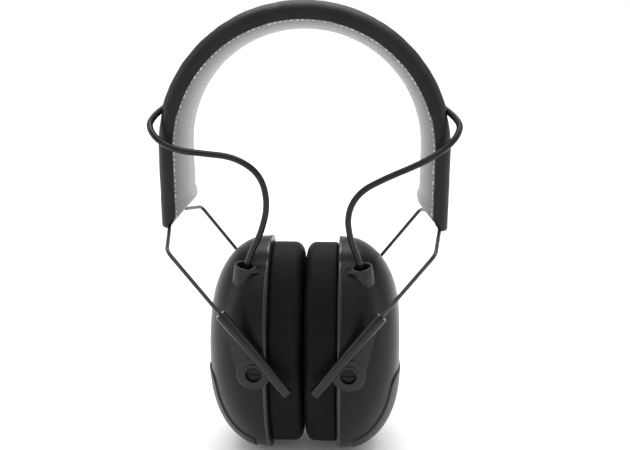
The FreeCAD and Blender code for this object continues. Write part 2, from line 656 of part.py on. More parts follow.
def make_board():
    """Circuit board with its larger components."""
    board = box(Vector(BOARD_X, -11, 53), Vector(BOARD_X + BOARD_THICK, 11, 92))
    parts = [box(Vector(BOARD_X - 1.2, -5, 67), Vector(BOARD_X + 0.1, 5, 77)),
             box(Vector(BOARD_X - 1.0, 6.5, 62), Vector(BOARD_X + 0.1, 10, 70))]
    for y, z in ((-8.5, 74), (-5.0, 86), (1.0, 86)):
        parts.append(rod(2.0, Vector(BOARD_X + 0.1, y, z), Vector(BOARD_X - 5, y, z)))
    holes = [rod(1.2, Vector(BOARD_X - 3, y, z), Vector(BOARD_X + 5, y, z)) for y, z in BOARD_SCREWS]
    return drilled(fused([board] + parts), holes)


# ---- battery bay, in the left cup (drawn on the +X side) ----------------------------
def make_tray():
    """Open tray behind the battery door."""
    wall = Vector(TRAY_WALL, TRAY_WALL, TRAY_WALL)
    far = Vector(0, TRAY_WALL, TRAY_WALL)
    tray = box(TRAY_LOW, TRAY_HIGH).cut(box(TRAY_LOW + wall, TRAY_HIGH - far + Vector(5, 0, 0)))
    return tray.common(CUP_TRAY)


def make_batteries():
    """Two AAA cells, head to tail."""
    cells = []
    low_end = TRAY_LOW.y + TRAY_WALL + 0.55
    for (x, z), turned in zip(BATTERY_CENTRES, (False, True)):
        can = across(BATTERY_R, x, z, low_end + 0.8, low_end + BATTERY_LENGTH)
        nub = across(1.9, x, z, low_end, low_end + 0.9)
        cell = fused([can, nub])
        cells.append(cell.mirror(Vector(0, 0, 0), Y_AXIS) if turned else cell)
    return Part.makeCompound(cells)


def make_contact_plates():
    """Flat contacts at both ends of each cell."""
    plates = []
    wall_y = TRAY_HIGH.y - TRAY_WALL - 0.05
    for x, z in BATTERY_CENTRES:
        for side in (-1, 1):
            outer = side * wall_y
            inner = side * (wall_y - 0.4)
            low = Vector(x - 2.7, min(outer, inner), z - 2.7)
            plates.append(box(low, Vector(x + 2.7, max(outer, inner), z + 2.7)))
    return Part.makeCompound(plates)


def make_contact_springs():
    """Coil springs that press on the flat end of each cell."""
    springs = []
    wall_y = TRAY_HIGH.y - TRAY_WALL - 0.5
    flat_end = -(TRAY_LOW.y + TRAY_WALL + 0.55) - BATTERY_LENGTH
    for (x, z), turned in zip(BATTERY_CENTRES, (False, True)):
        length = wall_y + flat_end - 0.1
        coil = Part.makeHelix(length * 0.32, length - 0.9, 2.6)
        start = coil.Vertexes[0].Point
        ring = Part.Wire(Part.makeCircle(0.3, start, Vector(0, 1, 0)))
        spring = Part.Wire(coil).makePipeShell([ring], True, True)
        spring.translate(Vector(0, 0, 0.45))
        spring.rotate(Vector(0, 0, 0), X_AXIS, 90)
        spring.translate(Vector(x, wall_y - 0.02, z))
        springs.append(spring.mirror(Vector(0, 0, 0), Y_AXIS) if turned else spring)
    return Part.makeCompound(springs)


def make_battery_door():
    """Left panel: a door hung from a short knuckle at its upper edge."""
    knuckle = across(HINGE_R, HINGE_X, HINGE_Z, -HINGE_HALF_Y, HINGE_HALF_Y)
    leaf = box(Vector(HINGE_X - 1.2, -HINGE_HALF_Y, HINGE_Z - 4), Vector(HINGE_X + 1.2, HINGE_HALF_Y, HINGE_Z))
    leaf = leaf.common(CUP_PROUD).cut(CUP_SUNK)
    notches = []
    for side in (-1, 1):
        start, end = sorted((side * (LUG_FROM_Y - 0.25), side * (LUG_TO_Y + 0.3)))
        notches.append(box(Vector(HINGE_X - 5, start, HINGE_Z - 3.4), Vector(HINGE_X + 5, end, HINGE_Z + 3)))
    door = fused([drilled(make_panel(), notches), knuckle, leaf])
    return door.cut(across(HINGE_PIN_R + 0.05, HINGE_X, HINGE_Z, -20, 20))


# ---- build and write every node -----------------------------------------------------
CUP_OUTER = cup_solid()
CUP_INNER = cup_solid(-WALL, RIM_X - 1)
CUP_PROUD = cup_solid(PANEL_PROUD)
CUP_SUNK = cup_solid(-PANEL_SUNK)
CUP_PROUD_MORE = cup_solid(PANEL_PROUD + 3)
CUP_SUNK_MORE = cup_solid(-PANEL_SUNK - PANEL_GAP)
CUP_BACKING = cup_solid(-PANEL_SUNK - PANEL_GAP - 1.6)
CUP_TRAY = cup_solid(-PANEL_SUNK - PANEL_GAP - 1.7)
CUP_GLAND = cup_solid(0.03)

for side_name, route, place in (("right", RIGHT_ROUTE, lambda s: s), ("left", LEFT_ROUTE, mirrored)):
    save(side_name + "_side_cover", place(make_side_cover(route)))
    save(side_name + "_upper_cover", place(make_upper_cover(route)))
    save(side_name + "_band_foam", place(make_foam(route)))
    points = [Vector(*point) for point in route]
    radii = []
    for before, here, after in zip(points, points[1:], points[2:]):
        half_turn = (here - before).getAngle(after - here) / 2
        shorter = min((here - before).Length, (after - here).Length)
        radii.append(ROUTE_SHARE * shorter / math.tan(half_turn))
    print(side_name, "cable radii", [round(radius, 1) for radius in radii])
    save(side_name + "_cable", tube_along(route_edges(points, radii), CABLE_R))

save_pair("band_lining", make_lining())
save_pair("band_cable", make_band_cable())
save_pair("rear_wire", make_wire(-1))
save_pair("front_wire", make_wire(1))

front_bracket, rear_bracket = front_and_rear(make_bracket())
save_pair("front_bracket", front_bracket)
save_pair("rear_bracket", rear_bracket)
save_pair("pivot_pins", Part.makeCompound(front_and_rear(make_pin())))

save("right_shell", make_shell(False))
save("left_shell", mirrored(make_shell(True)))
save_pair("inner_plate", make_inner_plate())
save_pair("cushion_ring", make_cushion_ring())
save_pair("ear_cushion", make_cushion())
save_pair("foam_liner", make_foam_liner())
save_pair("speaker", make_speaker())
save_pair("plate_screws", make_screws(PLATE_SCREWS, PLATE_X, 1.1, 2.3, 9.0))
save_pair("microphone", make_microphone())
save_pair("microphone_grille", make_grille())
save_pair("cable_gland", make_gland())

save("right_panel", make_panel())
save("volume_knob", make_knob())
save("volume_potentiometer", make_potentiometer())
save("audio_jack", make_jack())
save("circuit_board", make_board())
save("board_screws", make_screws(BOARD_SCREWS, BOARD_X, 0.95, 1.9, 6.0))

save("battery_door", mirrored(make_battery_door()))
hinge_pin = across(HINGE_PIN_R, HINGE_X, HINGE_Z, -HINGE_HALF_Y - 2.8, HINGE_HALF_Y + 2.8)
save("door_hinge_pin", mirrored(hinge_pin))
save("battery_tray", mirrored(make_tray()))
save("batteries", mirrored(make_batteries()))
save("contact_plates", mirrored(make_contact_plates()))
save("contact_springs", mirrored(make_contact_springs()))
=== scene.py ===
"""Earmuff with a padded headband: the finished look of each piece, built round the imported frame."""
import math

import bmesh
import bpy
from mathutils import Matrix, Vector, noise


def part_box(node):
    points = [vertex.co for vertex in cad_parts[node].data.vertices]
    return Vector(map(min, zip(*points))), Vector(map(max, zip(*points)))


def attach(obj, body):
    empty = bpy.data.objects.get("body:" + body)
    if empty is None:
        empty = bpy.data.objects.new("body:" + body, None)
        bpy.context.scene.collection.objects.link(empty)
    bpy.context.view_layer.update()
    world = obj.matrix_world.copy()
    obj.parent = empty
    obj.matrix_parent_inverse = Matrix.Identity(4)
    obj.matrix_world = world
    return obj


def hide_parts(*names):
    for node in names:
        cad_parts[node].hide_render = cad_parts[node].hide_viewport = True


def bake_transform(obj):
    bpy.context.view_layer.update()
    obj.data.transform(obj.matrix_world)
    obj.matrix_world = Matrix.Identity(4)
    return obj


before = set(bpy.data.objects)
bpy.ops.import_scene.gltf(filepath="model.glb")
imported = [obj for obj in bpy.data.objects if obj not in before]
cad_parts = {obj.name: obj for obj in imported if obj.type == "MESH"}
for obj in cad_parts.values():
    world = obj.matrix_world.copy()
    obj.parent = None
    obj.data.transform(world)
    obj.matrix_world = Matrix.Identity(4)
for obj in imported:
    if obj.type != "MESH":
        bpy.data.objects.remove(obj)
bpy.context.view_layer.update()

bl_info = {
    "name": "Earmuff maker",
    "version": (1, 0, 0),
    "blender": (4, 5, 0),
    "location": "3D View > Sidebar > Earmuff",
    "description": "Makes the cover, lining, cushions, cables, shells and finishes of an earmuff",
    "category": "Object",
}

SIDES = (("right", 1), ("left", -1))

# Routes of the free cables, from inside each gland to inside the headband.
LEFT_ROUTE = [
    (-0.0286, -0.0212, 0.1005), (-0.0259, -0.0226, 0.1096), (-0.0196, -0.0252, 0.1220),
    (-0.0160, -0.0272, 0.1365), (-0.0192, -0.0283, 0.1508), (-0.0310, -0.0286, 0.1588),
    (-0.0455, -0.0284, 0.1602), (-0.0590, -0.0276, 0.1616), (-0.0694, -0.0258, 0.1676),
    (-0.0728, -0.0182, 0.1750), (-0.0632, -0.0130, 0.1812)]
RIGHT_ROUTE = [
    (0.0286, -0.0212, 0.1005), (0.0266, -0.0226, 0.1086), (0.0224, -0.0252, 0.1190),
    (0.0208, -0.0272, 0.1320), (0.0262, -0.0283, 0.1428), (0.0386, -0.0286, 0.1496),
    (0.0522, -0.0284, 0.1554), (0.0632, -0.0276, 0.1614), (0.0710, -0.0248, 0.1684),
    (0.0728, -0.0182, 0.1750), (0.0632, -0.0130, 0.1812)]


# ---- sizes and colours that a user may change ---------------------------------------
def length(name, description, default):
    """A length property, in metres."""
    return bpy.props.FloatProperty(name=name, description=description, default=default,
                                   subtype="DISTANCE", unit="LENGTH")


def angle(name, description, degrees):
    """An angle property."""
    return bpy.props.FloatProperty(name=name, description=description,
                                   default=math.radians(degrees), subtype="ANGLE")


def colour(name, description, default):
    """A colour property, linear red, green and blue."""
    return bpy.props.FloatVectorProperty(name=name, description=description, default=default,
                                         size=3, min=0.0, max=1.0, subtype="COLOR")


class BandSizes(bpy.types.PropertyGroup):
    """The headband's arch, cover and lining."""
    arch_z: length("Arch height", "Height of the centre of the half circle", 0.159)
    outer_r: length("Outer radius", "Outer face of the side covers", 0.069)
    inner_r: length("Inner radius", "Edge of the cover's side walls", 0.0612)
    half_width: length("Half width", "Middle of the band to its edge", 0.021)
    lift: length("Upper cover lift", "How far the upper cover laps over the side covers", 0.0005)
    wall: length("Cover thickness", "Thickness of the cover", 0.0012)
    corner: length("Outer corner", "Rounding of the cover's outer edges", 0.0054)
    slit: angle("Slit", "Where upper and side cover meet, above the arch's springing", 17.3)
    end_outer_z: length("Leg end, outside", "Height of a leg's end at its outer face", 0.1207)
    end_inner_z: length("Leg end, inside", "Height of a leg's end at its inner face", 0.1269)
    lining_r: length("Lining radius", "Fullest part of the lining", 0.0564)
    lining_half: length("Lining half width", "Middle of the lining to its edge", 0.0197)
    crown_reach: length("Crown bend", "Half of the stretch that bends at the crown", 0.022)


class StitchSizes(bpy.types.PropertyGroup):
    """The row of stitches along each edge of the lining."""
    pitch: length("Pitch", "From one stitch to the next", 0.0025)
    size: length("Length", "Length of a stitch", 0.0019)
    thickness: length("Thickness", "Thickness of the thread", 0.00052)
    slant: angle("Slant", "How far a stitch is turned from the seam", 16.0)


class CushionSizes(bpy.types.PropertyGroup):
    """The ear cushions, before they are blown up."""
    inset: length("Inset", "How much smaller the pattern is than the finished cushion", 0.0003)
    corner: length("Corner", "Rounding of the cushion's corners", 0.0048)
    most: length("Most swelling", "How far a point may move", 0.0008)


class CableSizes(bpy.types.PropertyGroup):
    """The free cables between the cups and the headband."""
    diameter: length("Diameter", "Outside of the jacket", 0.003)
    step: length("Step", "Distance between the tube's rings", 0.0009)


class Finishes(bpy.types.PropertyGroup):
    """The colours of the visible surfaces."""
    shell: colour("Shell", "Cup shells", (0.0045, 0.0046, 0.0049))
    panel: colour("Panel", "Lower outer panels", (0.0045, 0.0046, 0.0049))
    bracket: colour("Bracket", "Sliding brackets", (0.0055, 0.0056, 0.0059))
    cover: colour("Cover", "Headband cover", (0.0055, 0.0055, 0.0058))
    lining: colour("Lining", "Headband lining", (0.46, 0.465, 0.47))
    thread: colour("Thread", "Stitches", (0.56, 0.56, 0.555))
    cushion: colour("Cushion", "Ear cushions", (0.0035, 0.0036, 0.0038))
    jacket: colour("Cable jacket", "Cables", (0.005, 0.005, 0.0053))
    wire: colour("Wire paint", "Spring wires", (0.006, 0.006, 0.0065))
    floor: colour("Floor", "The surface under the object", (0.86, 0.86, 0.86))


def settings(group):
    """One of the property groups of this scene."""
    return getattr(bpy.context.scene, "earmuff_" + group)


# ---- materials ----------------------------------------------------------------------
def add_node(tree, kind, choices=None, values=None):
    """Add a node: its choices are set first, then the values or links of its sockets."""
    made = tree.nodes.new(kind)
    for name, choice in (choices or {}).items():
        setattr(made, name, choice)
    for key, value in (values or {}).items():
        feed(tree, made.inputs[key], value)
    return made


def feed(tree, socket, value):
    """Link or set one socket."""
    if isinstance(value, Number):
        value = value.socket
    if isinstance(value, bpy.types.NodeSocket):
        tree.links.new(value, socket)
    else:
        socket.default_value = value


class Number:
    """A number in a shader tree; sums and products of it add Math nodes."""

    def __init__(self, look, socket):
        self.look = look
        self.socket = socket

    def math(self, operation, first, second):
        """A Math node on two values."""
        made = self.look.node("ShaderNodeMath", {"operation": operation}, {0: first, 1: second})
        return Number(self.look, made.outputs[0])

    def __add__(self, other):
        return self.math("ADD", self, other)

    def __sub__(self, other):
        return self.math("SUBTRACT", self, other)

    def __rsub__(self, other):
        return self.math("SUBTRACT", other, self)

    def __mul__(self, other):
        return self.math("MULTIPLY", self, other)

    def within(self, low, high):
        """The value stretched so that low to high becomes 0 to 1."""
        made = self.look.node("ShaderNodeMapRange", {"clamp": True},
                              {"Value": self, "From Min": low, "From Max": high})
        return Number(self.look, made.outputs[0])

    __radd__ = __add__
    __rmul__ = __mul__


class Look:
    """A procedural material that ends in one Principled shader."""

    def __init__(self, name, **fixed):
        self.material = bpy.data.materials.new(name)
        self.material.use_nodes = True
        self.tree = self.material.node_tree
        self.tree.nodes.clear()
        self.shader = self.node("ShaderNodeBsdfPrincipled")
        self.node("ShaderNodeOutputMaterial", {}, {"Surface": self.shader.outputs[0]})
        self.place = self.node("ShaderNodeTexCoord").outputs["Object"]
        self.finish(**fixed)

    def node(self, kind, choices=None, values=None):
        """Add a node to this material."""
        return add_node(self.tree, kind, choices, values)

    def finish(self, **values):
        """Set sockets of the shader; underscores stand for spaces."""
        for name, value in values.items():
            title = name.replace("_", " ").title().replace("Ior", "IOR")
            feed(self.tree, self.shader.inputs[title], value)

    def stretched(self, scale, turn=(0.0, 0.0, 0.0)):
        """Object coordinates, scaled and turned."""
        made = self.node("ShaderNodeMapping", {}, {"Vector": self.place, "Scale": scale,
                                                   "Rotation": turn})
        return made.outputs[0]

    def noise(self, scale, detail=2.0, where=None, rough=0.5):
        """Soft noise, 0 to 1; scale is in repeats per metre."""
        made = self.node("ShaderNodeTexNoise", {}, {"Vector": where or self.place, "Scale": scale,
                                                    "Detail": detail, "Roughness": rough})
        return Number(self, made.outputs[0])

    def cells(self, scale, feature="F1", where=None):
        """Distance to the nearest cell centre or edge."""
        made = self.node("ShaderNodeTexVoronoi", {"feature": feature},
                         {"Vector": where or self.place, "Scale": scale})
        return Number(self, made.outputs["Distance"])

    def waves(self, scale, where, axis="X", bend=0.0):
        """Parallel ridges."""
        made = self.node("ShaderNodeTexWave", {"wave_type": "BANDS", "bands_direction": axis},
                         {"Vector": where, "Scale": scale, "Distortion": bend})
        return Number(self, made.outputs["Fac"])

    def blend(self, share, low, high):
        """A colour between two colours."""
        made = self.node("ShaderNodeMix", {"data_type": "RGBA"}, {0: share, 6: low, 7: high})
        return made.outputs[2]

    def relief(self, height, depth):
        """Bump from a height; depth is in metres."""
        made = self.node("ShaderNodeBump", {},
                         {"Height": height, "Distance": depth, "Strength": 1.0})
        self.finish(normal=made.outputs[0])


def rgba(shade, factor=1.0):
    """A colour with full alpha, made lighter or darker."""
    return tuple(min(1.0, part * factor) for part in shade) + (1.0,)


def moulded(name, shade, roughness, grain=2600.0, depth=0.00002, shine=0.1):
    """Moulded plastic: fine spark-eroded grain, soft flow marks and handling shine."""
    look = Look(name, specular_ior_level=shine)
    flow = look.noise(38.0, 3.0)
    specks = look.noise(900.0, 2.0)
    look.finish(base_color=look.blend(flow.within(0.3, 0.7), rgba(shade, 0.85), rgba(shade, 1.2)),
                roughness=roughness + (flow - 0.5) * 0.10 + (specks - 0.5) * 0.06)
    look.relief(look.noise(grain, 3.0), depth)
    return look.material


def leather(name, shade, roughness, cell, depth, wear, shine=0.09):
    """Leatherette: pebbled grain, slightly glossier where it is rubbed."""
    look = Look(name, specular_ior_level=shine)
    pebbles = look.cells(cell, "SMOOTH_F1")
    creases = look.noise(cell * 0.22, 4.0)
    patches = look.noise(46.0, 3.0)
    worn = patches.within(0.3, 0.75)
    look.finish(base_color=look.blend(worn, rgba(shade, 0.8), rgba(shade, wear)),
                roughness=roughness + (patches - 0.5) * 0.14 + (pebbles - 0.4) * 0.08)
    look.relief(pebbles * 0.7 + creases * 0.6, depth)
    return look.material


def knitted(name, shade):
    """Knitted lining: rows of small loops, a soft nap, slight soiling and painted shade that darkens
    it towards both edges.
    """
    look = Look(name, roughness=0.92, sheen_weight=0.35, sheen_roughness=0.5)
    uv = look.node("ShaderNodeUVMap", {"uv_map": "weave"}).outputs[0]
    across = look.waves(1.0, uv, "X", 0.6)
    along = look.waves(0.62, uv, "Y", 0.6)
    loops = across * 0.6 + along * 0.5
    # Painted shade: the 'across' map is 1 along the middle and 0 at both edges, and the colour falls
    # to 0.4 of the lining's shade over the outer 30 % of each half.
    middle = Number(look, look.node("ShaderNodeUVMap", {"uv_map": "across"}).outputs[0])
    nap = look.noise(1500.0, 3.0)
    cloud = look.noise(30.0, 3.0)
    tone = (loops * 0.2 + nap * 0.4 + cloud * 0.5).within(0.25, 0.95)
    knit = look.blend(tone, rgba(shade, 0.86), rgba(shade, 1.14))
    look.finish(base_color=look.blend(middle.within(0.0, 0.3), rgba(shade, 0.4), knit))
    look.relief(loops + nap * 0.8, 0.00016)
    return look.material


def thread_look(name, shade):
    """Twisted thread."""
    look = Look(name, roughness=0.75, sheen_weight=0.2)
    twist = look.waves(900.0, look.stretched((1.0, 1.0, 1.0), (0.6, 0.4, 0.2)), "DIAGONAL", 1.0)
    look.finish(base_color=look.blend(twist, rgba(shade, 0.7), rgba(shade, 1.1)))
    look.relief(twist, 0.00005)
    return look.material


def foam_look(name, shade):
    """Open-cell foam, with painted shade darkening the middle of each pore."""
    look = Look(name, roughness=0.95)
    pore_depth_and_shade = look.cells(1400.0).within(0.1, 0.6)
    # Painted shade: the colour falls to 0.35 of the foam's shade towards the middle of each pore; the
    # same pattern gives the pores their relief.
    look.finish(base_color=look.blend(pore_depth_and_shade, rgba(shade, 0.35), rgba(shade, 1.2)))
    look.relief(pore_depth_and_shade, 0.0003)
    return look.material


def rubber(name, shade, roughness, depth=0.00002):
    """Smooth flexible jacket or moulded rubber, a little dusty."""
    look = Look(name, specular_ior_level=0.25)
    dust = look.noise(240.0, 4.0)
    look.finish(base_color=look.blend(dust.within(0.45, 0.8), rgba(shade), rgba(shade, 1.9)),
                roughness=roughness + (dust - 0.5) * 0.16)
    look.relief(look.noise(1300.0, 2.0), depth)
    return look.material


def bare_metal(name, shade, roughness):
    """Turned or plated metal with fine scratches."""
    look = Look(name, metallic=1.0)
    scratches = look.noise(420.0, 4.0, look.stretched((1.0, 9.0, 1.0)))
    look.finish(base_color=look.blend(scratches, rgba(shade, 0.75), rgba(shade, 1.1)),
                roughness=roughness + (scratches - 0.5) * 0.2)
    look.relief(scratches, 0.00001)
    return look.material


def painted(name, shade):
    """Painted spring wire: smooth coat with tiny runs, rubbed where the brackets slide."""
    look = Look(name, specular_ior_level=0.5, coat_roughness=0.2)
    runs = look.noise(300.0, 3.0, look.stretched((1.0, 1.0, 0.35)))
    look.finish(base_color=look.blend(runs.within(0.55, 0.8), rgba(shade), rgba(shade, 3.0)),
                roughness=0.34 + (runs - 0.5) * 0.2, coat_weight=runs * 0.3)
    look.relief(runs, 0.00002)
    return look.material


def board_look(name):
    """Green board with copper tracks under the lacquer."""
    look = Look(name, roughness=0.35)
    flat = look.stretched((1, 1, 1), (0, math.pi / 2, 0))
    tracks = look.node("ShaderNodeTexBrick", {},
                       {"Vector": flat, "Scale": 160.0, "Mortar Size": 0.03}).outputs["Fac"]
    look.finish(base_color=look.blend(tracks, (0.01, 0.09, 0.03, 1), (0.05, 0.22, 0.09, 1)))
    look.relief(tracks, 0.00004)
    return look.material


def battery_look(name):
    """Plain wrapped cells: grey wrap with a darker end band."""
    look = Look(name, metallic=0.7)
    split = look.node("ShaderNodeSeparateXYZ", {}, {"Vector": look.place})
    band = Number(look, split.outputs["Y"]).within(0.009, 0.0092)
    grain = look.noise(500.0, 2.0)
    look.finish(base_color=look.blend(band, (0.42, 0.43, 0.45, 1), (0.05, 0.05, 0.055, 1)),
                roughness=0.3 + grain * 0.1)
    look.relief(grain, 0.00001)
    return look.material


def make_looks():
    """Every material, by name."""
    tones = settings("finishes")
    return {
        "shell": moulded("shell_plastic", tones.shell, 0.3, shine=0.17),
        "panel": moulded("panel_plastic", tones.panel, 0.42, 1900.0, 0.00006, 0.26),
        "bead": moulded("bead_plastic", tones.bracket, 0.16, shine=0.5),
        "bracket": moulded("bracket_plastic", tones.bracket, 0.2, shine=0.3),
        "pin": moulded("pin_plastic", tones.panel, 0.3, shine=0.15),
        "inner": moulded("inner_plastic", (0.016, 0.016, 0.017), 0.5, 1500.0, 0.00005),
        "grille": moulded("grille_plastic", (0.012, 0.012, 0.0125), 0.42),
        "knob": moulded("knob_plastic", (0.012, 0.012, 0.0125), 0.4, 1900.0, 0.00004),
        "cover": leather("cover_leatherette", tones.cover, 0.4, 1150.0, 0.00014, 1.5, 0.22),
        "cushion": leather("cushion_leatherette", tones.cushion, 0.5, 1700.0, 0.00005, 1.35),
        "lining": knitted("knitted_lining", tones.lining),
        "thread": thread_look("seam_thread", tones.thread),
        "foam": foam_look("core_foam", (0.10, 0.10, 0.11)),
        "liner": foam_look("liner_foam", (0.03, 0.03, 0.032)),
        "jacket": rubber("cable_jacket", tones.jacket, 0.2),
        "gland": rubber("gland_rubber", (0.012, 0.012, 0.0125), 0.42, 0.00004),
        "wire": painted("wire_paint", tones.wire),
        "metal": bare_metal("turned_metal", (0.55, 0.55, 0.56), 0.35),
        "screw": bare_metal("plated_screw", (0.6, 0.6, 0.62), 0.28),
        "contact": bare_metal("nickel_contact", (0.75, 0.72, 0.66), 0.25),
        "board": board_look("circuit_board"),
        "battery": battery_look("battery_wrap"),
    }


LOOKS = {}


def look(name):
    """One of the materials, made on first use."""
    if not LOOKS:
        LOOKS.update(make_looks())
    return LOOKS[name]


# ---- mesh helpers -------------------------------------------------------------------
def placed(name, data):
    """A new object in the scene, at the origin."""
    made = bpy.data.objects.new(name, data)
    bpy.context.scene.collection.objects.link(made)
    return made


def piece(name, points, faces, material, sharp_deg=50.0):
    """A mesh object at the origin from points and faces, smooth up to an edge angle."""
    mesh = bpy.data.meshes.new(name)
    mesh.from_pydata([tuple(point) for point in points], [], faces)
    mesh.validate()
    made = placed(name, mesh)
    mesh.materials.append(look(material))
    mesh.polygons.foreach_set("use_smooth", [True] * len(mesh.polygons))
    mesh.set_sharp_from_angle(angle=math.radians(sharp_deg))
    return made


def outward(made):
    """Merge doubles and turn every face outwards."""
    work = bmesh.new()
    work.from_mesh(made.data)
    bmesh.ops.remove_doubles(work, verts=work.verts, dist=1e-6)
    bmesh.ops.recalc_face_normals(work, faces=work.faces)
    work.to_mesh(made.data)
    work.free()


def grid_faces(rows, columns):
    """Faces between closed rows of points that have the same number of columns."""
    faces = []
    for row in range(rows - 1):
        for column in range(columns):
            right = (column + 1) % columns
            faces.append((row * columns + column, row * columns + right,
                          (row + 1) * columns + right, (row + 1) * columns + column))
    return faces


def layer_ends(total, count):
    """Faces that close both ends of a two-layered strip: each ring goes out and comes back."""
    return [(base + step, base + step + 1, base + count - 2 - step, base + count - 1 - step)
            for base in (0, total - count) for step in range(count // 2 - 1)]


def applied(made):
    """Turn a piece's modifiers into its mesh."""
    bpy.context.view_layer.update()
    evaluated = made.evaluated_get(bpy.context.evaluated_depsgraph_get())
    mesh = bpy.data.meshes.new_from_object(evaluated)
    old = made.data
    made.modifiers.clear()
    made.data = mesh
    bpy.data.meshes.remove(old)
    return made


def mirror_copy(made, name):
    """The same piece on the other side, faces outwards."""
    mesh = made.data.copy()
    mesh.transform(Matrix.Scale(-1.0, 4, Vector((1, 0, 0))))
    mesh.flip_normals()
    return placed(name, mesh)


def ring_round(centre, heading, up, radius, count):
    """Points of a circle across a heading."""
    aside = heading.cross(up).normalized()
    rise = aside.cross(heading).normalized()
    turns = [2 * math.pi * step / count for step in range(count)]
    return [centre + (aside * math.cos(turn) + rise * math.sin(turn)) * radius for turn in turns]


def tube(name, line, radius, material, count=20):
    """A closed tube along a line of points."""
    up = Vector((0, -1, 0))
    points = []
    for index, centre in enumerate(line):
        before = line[max(index - 1, 0)]
        after = line[min(index + 1, len(line) - 1)]
        heading = (after - before).normalized()
        up = (up - heading * up.dot(heading)).normalized()
        points += ring_round(centre, heading, up, radius, count)
    faces = grid_faces(len(line), count)
    faces += [tuple(range(count))[::-1], tuple(range(len(points) - count, len(points)))]
    made = piece(name, points, faces, material)
    outward(made)
    return made


def smooth_line(route, step):
    """The smooth line of a route, read from a NURBS spline, in even steps."""
    curve = bpy.data.curves.new("route", "CURVE")
    curve.dimensions = "3D"
    spline = curve.splines.new("NURBS")
    spline.points.add(len(route) - 1)
    for control, place in zip(spline.points, route):
        control.co = (*place, 1.0)
    spline.order_u = 3
    spline.use_endpoint_u = True
    spline.resolution_u = 24
    holder = bpy.data.objects.new("route", curve)
    mesh = bpy.data.meshes.new_from_object(holder)
    raw = [vertex.co.copy() for vertex in mesh.vertices]
    bpy.data.meshes.remove(mesh)
    bpy.data.objects.remove(holder)
    bpy.data.curves.remove(curve)
    line = [raw[0]]
    for place in raw[1:]:
        if (place - line[-1]).length > step:
            line.append(place)
    line[-1] = raw[-1]
    return line


def line_length(line):
    """Length of a line of points."""
    return sum((b - a).length for a, b in zip(line, line[1:]))


# ---- headband -----------------------------------------------------------------------
def leg_end(radius):
    """Height of the slanting end of a leg at a distance from the arch's middle."""
    band = settings("band")
    share = (band.outer_r - radius) / (band.outer_r - band.inner_r)
    return band.end_outer_z + (band.end_inner_z - band.end_outer_z) * share


def on_band(turn, radius, y):
    """A point of the arch, at a turn from the crown; positive turns go to the right."""
    band = settings("band")
    return Vector((radius * math.sin(turn), y, band.arch_z + radius * math.cos(turn)))


def on_leg(side, share, radius, y):
    """A point of a leg: share 0 at the arch, 1 at the slanting end."""
    band = settings("band")
    height = band.arch_z + (leg_end(radius) - band.arch_z) * share
    return Vector((side * radius, y, height))


def rounded_outline(inner, outer, half, corner, inner_corner, step_deg=11.25):
    """Outline of the band's section as (radius, y): a rectangle with round corners."""
    corners = [(outer - corner, -half + corner, corner, -90.0),
               (outer - corner, half - corner, corner, 0.0),
               (inner + inner_corner, half - inner_corner, inner_corner, 90.0),
               (inner + inner_corner, -half + inner_corner, inner_corner, 180.0)]
    outline = []
    for radius, y, size, start in corners:
        count = int(90.0 / step_deg)
        for step in range(count + 1):
            turn = math.radians(start + 90.0 * step / count)
            outline.append((radius + size * math.cos(turn), y + size * math.sin(turn)))
    return outline


def filled_out(outline, longest):
    """The outline with its long straight stretches divided."""
    full = []
    for (a_r, a_y), (b_r, b_y) in zip(outline, outline[1:] + outline[:1]):
        parts = max(1, math.ceil(math.hypot(b_r - a_r, b_y - a_y) / longest))
        full += [(a_r + (b_r - a_r) * k / parts, a_y + (b_y - a_y) * k / parts)
                 for k in range(parts)]
    return full


def puckered(point, depth, scale):
    """Soft unevenness of a sewn cover, along its own direction from the arch's middle."""
    band = settings("band")
    wave = noise.noise(Vector((point.x * scale, point.y * scale * 0.45, point.z * scale)))
    fine = noise.noise(Vector((point.x, point.y * 0.3, point.z)) * scale * 3.1)
    away = Vector((point.x, 0, max(0.0, point.z - band.arch_z))).normalized()
    return point + away * depth * (wave * 0.7 + fine * 0.3)


def make_side_cover(side_name, side):
    """A sock of leatherette over the lower side of the band, closed at the leg's end."""
    band = settings("band")
    outline = filled_out(rounded_outline(band.inner_r + 0.0003, band.outer_r, band.half_width,
                                         band.corner, 0.0006), 0.0018)
    centre = (band.outer_r + band.inner_r) / 2
    half_r = (band.outer_r - band.inner_r) / 2
    rings = []
    for step in range(11):
        turn = math.pi / 2 - band.slit * (1 - step / 10)
        rings.append([on_band(side * turn, radius, y) for radius, y in outline])
    round_end = 0.0028
    for step in range(1, 30):
        rings.append([on_leg(side, step / 30 * 0.93, radius, y) for radius, y in outline])
    for step in range(7):
        slope = math.radians(90.0 * step / 6)
        shrink = round_end * (1 - math.cos(slope))
        share = 0.93 + 0.07 * math.sin(slope)
        ring = []
        for radius, y in outline:
            r = centre + (radius - centre) * (1 - 0.85 * shrink / half_r)
            spot = on_leg(side, share, r, y * (1 - shrink / band.half_width))
            spot.z -= 0.002 * max(0.0, share - 0.93) / 0.07 * (1 - abs(r - centre) / half_r)
            ring.append(spot)
        rings.append(ring)
    points = [puckered(point, 0.00022, 210.0) for ring in rings for point in ring]
    count = len(outline)
    faces = grid_faces(len(rings), count)
    faces += [tuple(range(count)), tuple(range(len(points) - count, len(points)))]
    cover = piece(side_name + "_side_cover_skin", points, faces, "cover", 60.0)
    outward(cover)
    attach(cover, side_name + "_band")
    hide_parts(side_name + "_side_cover")
    return cover


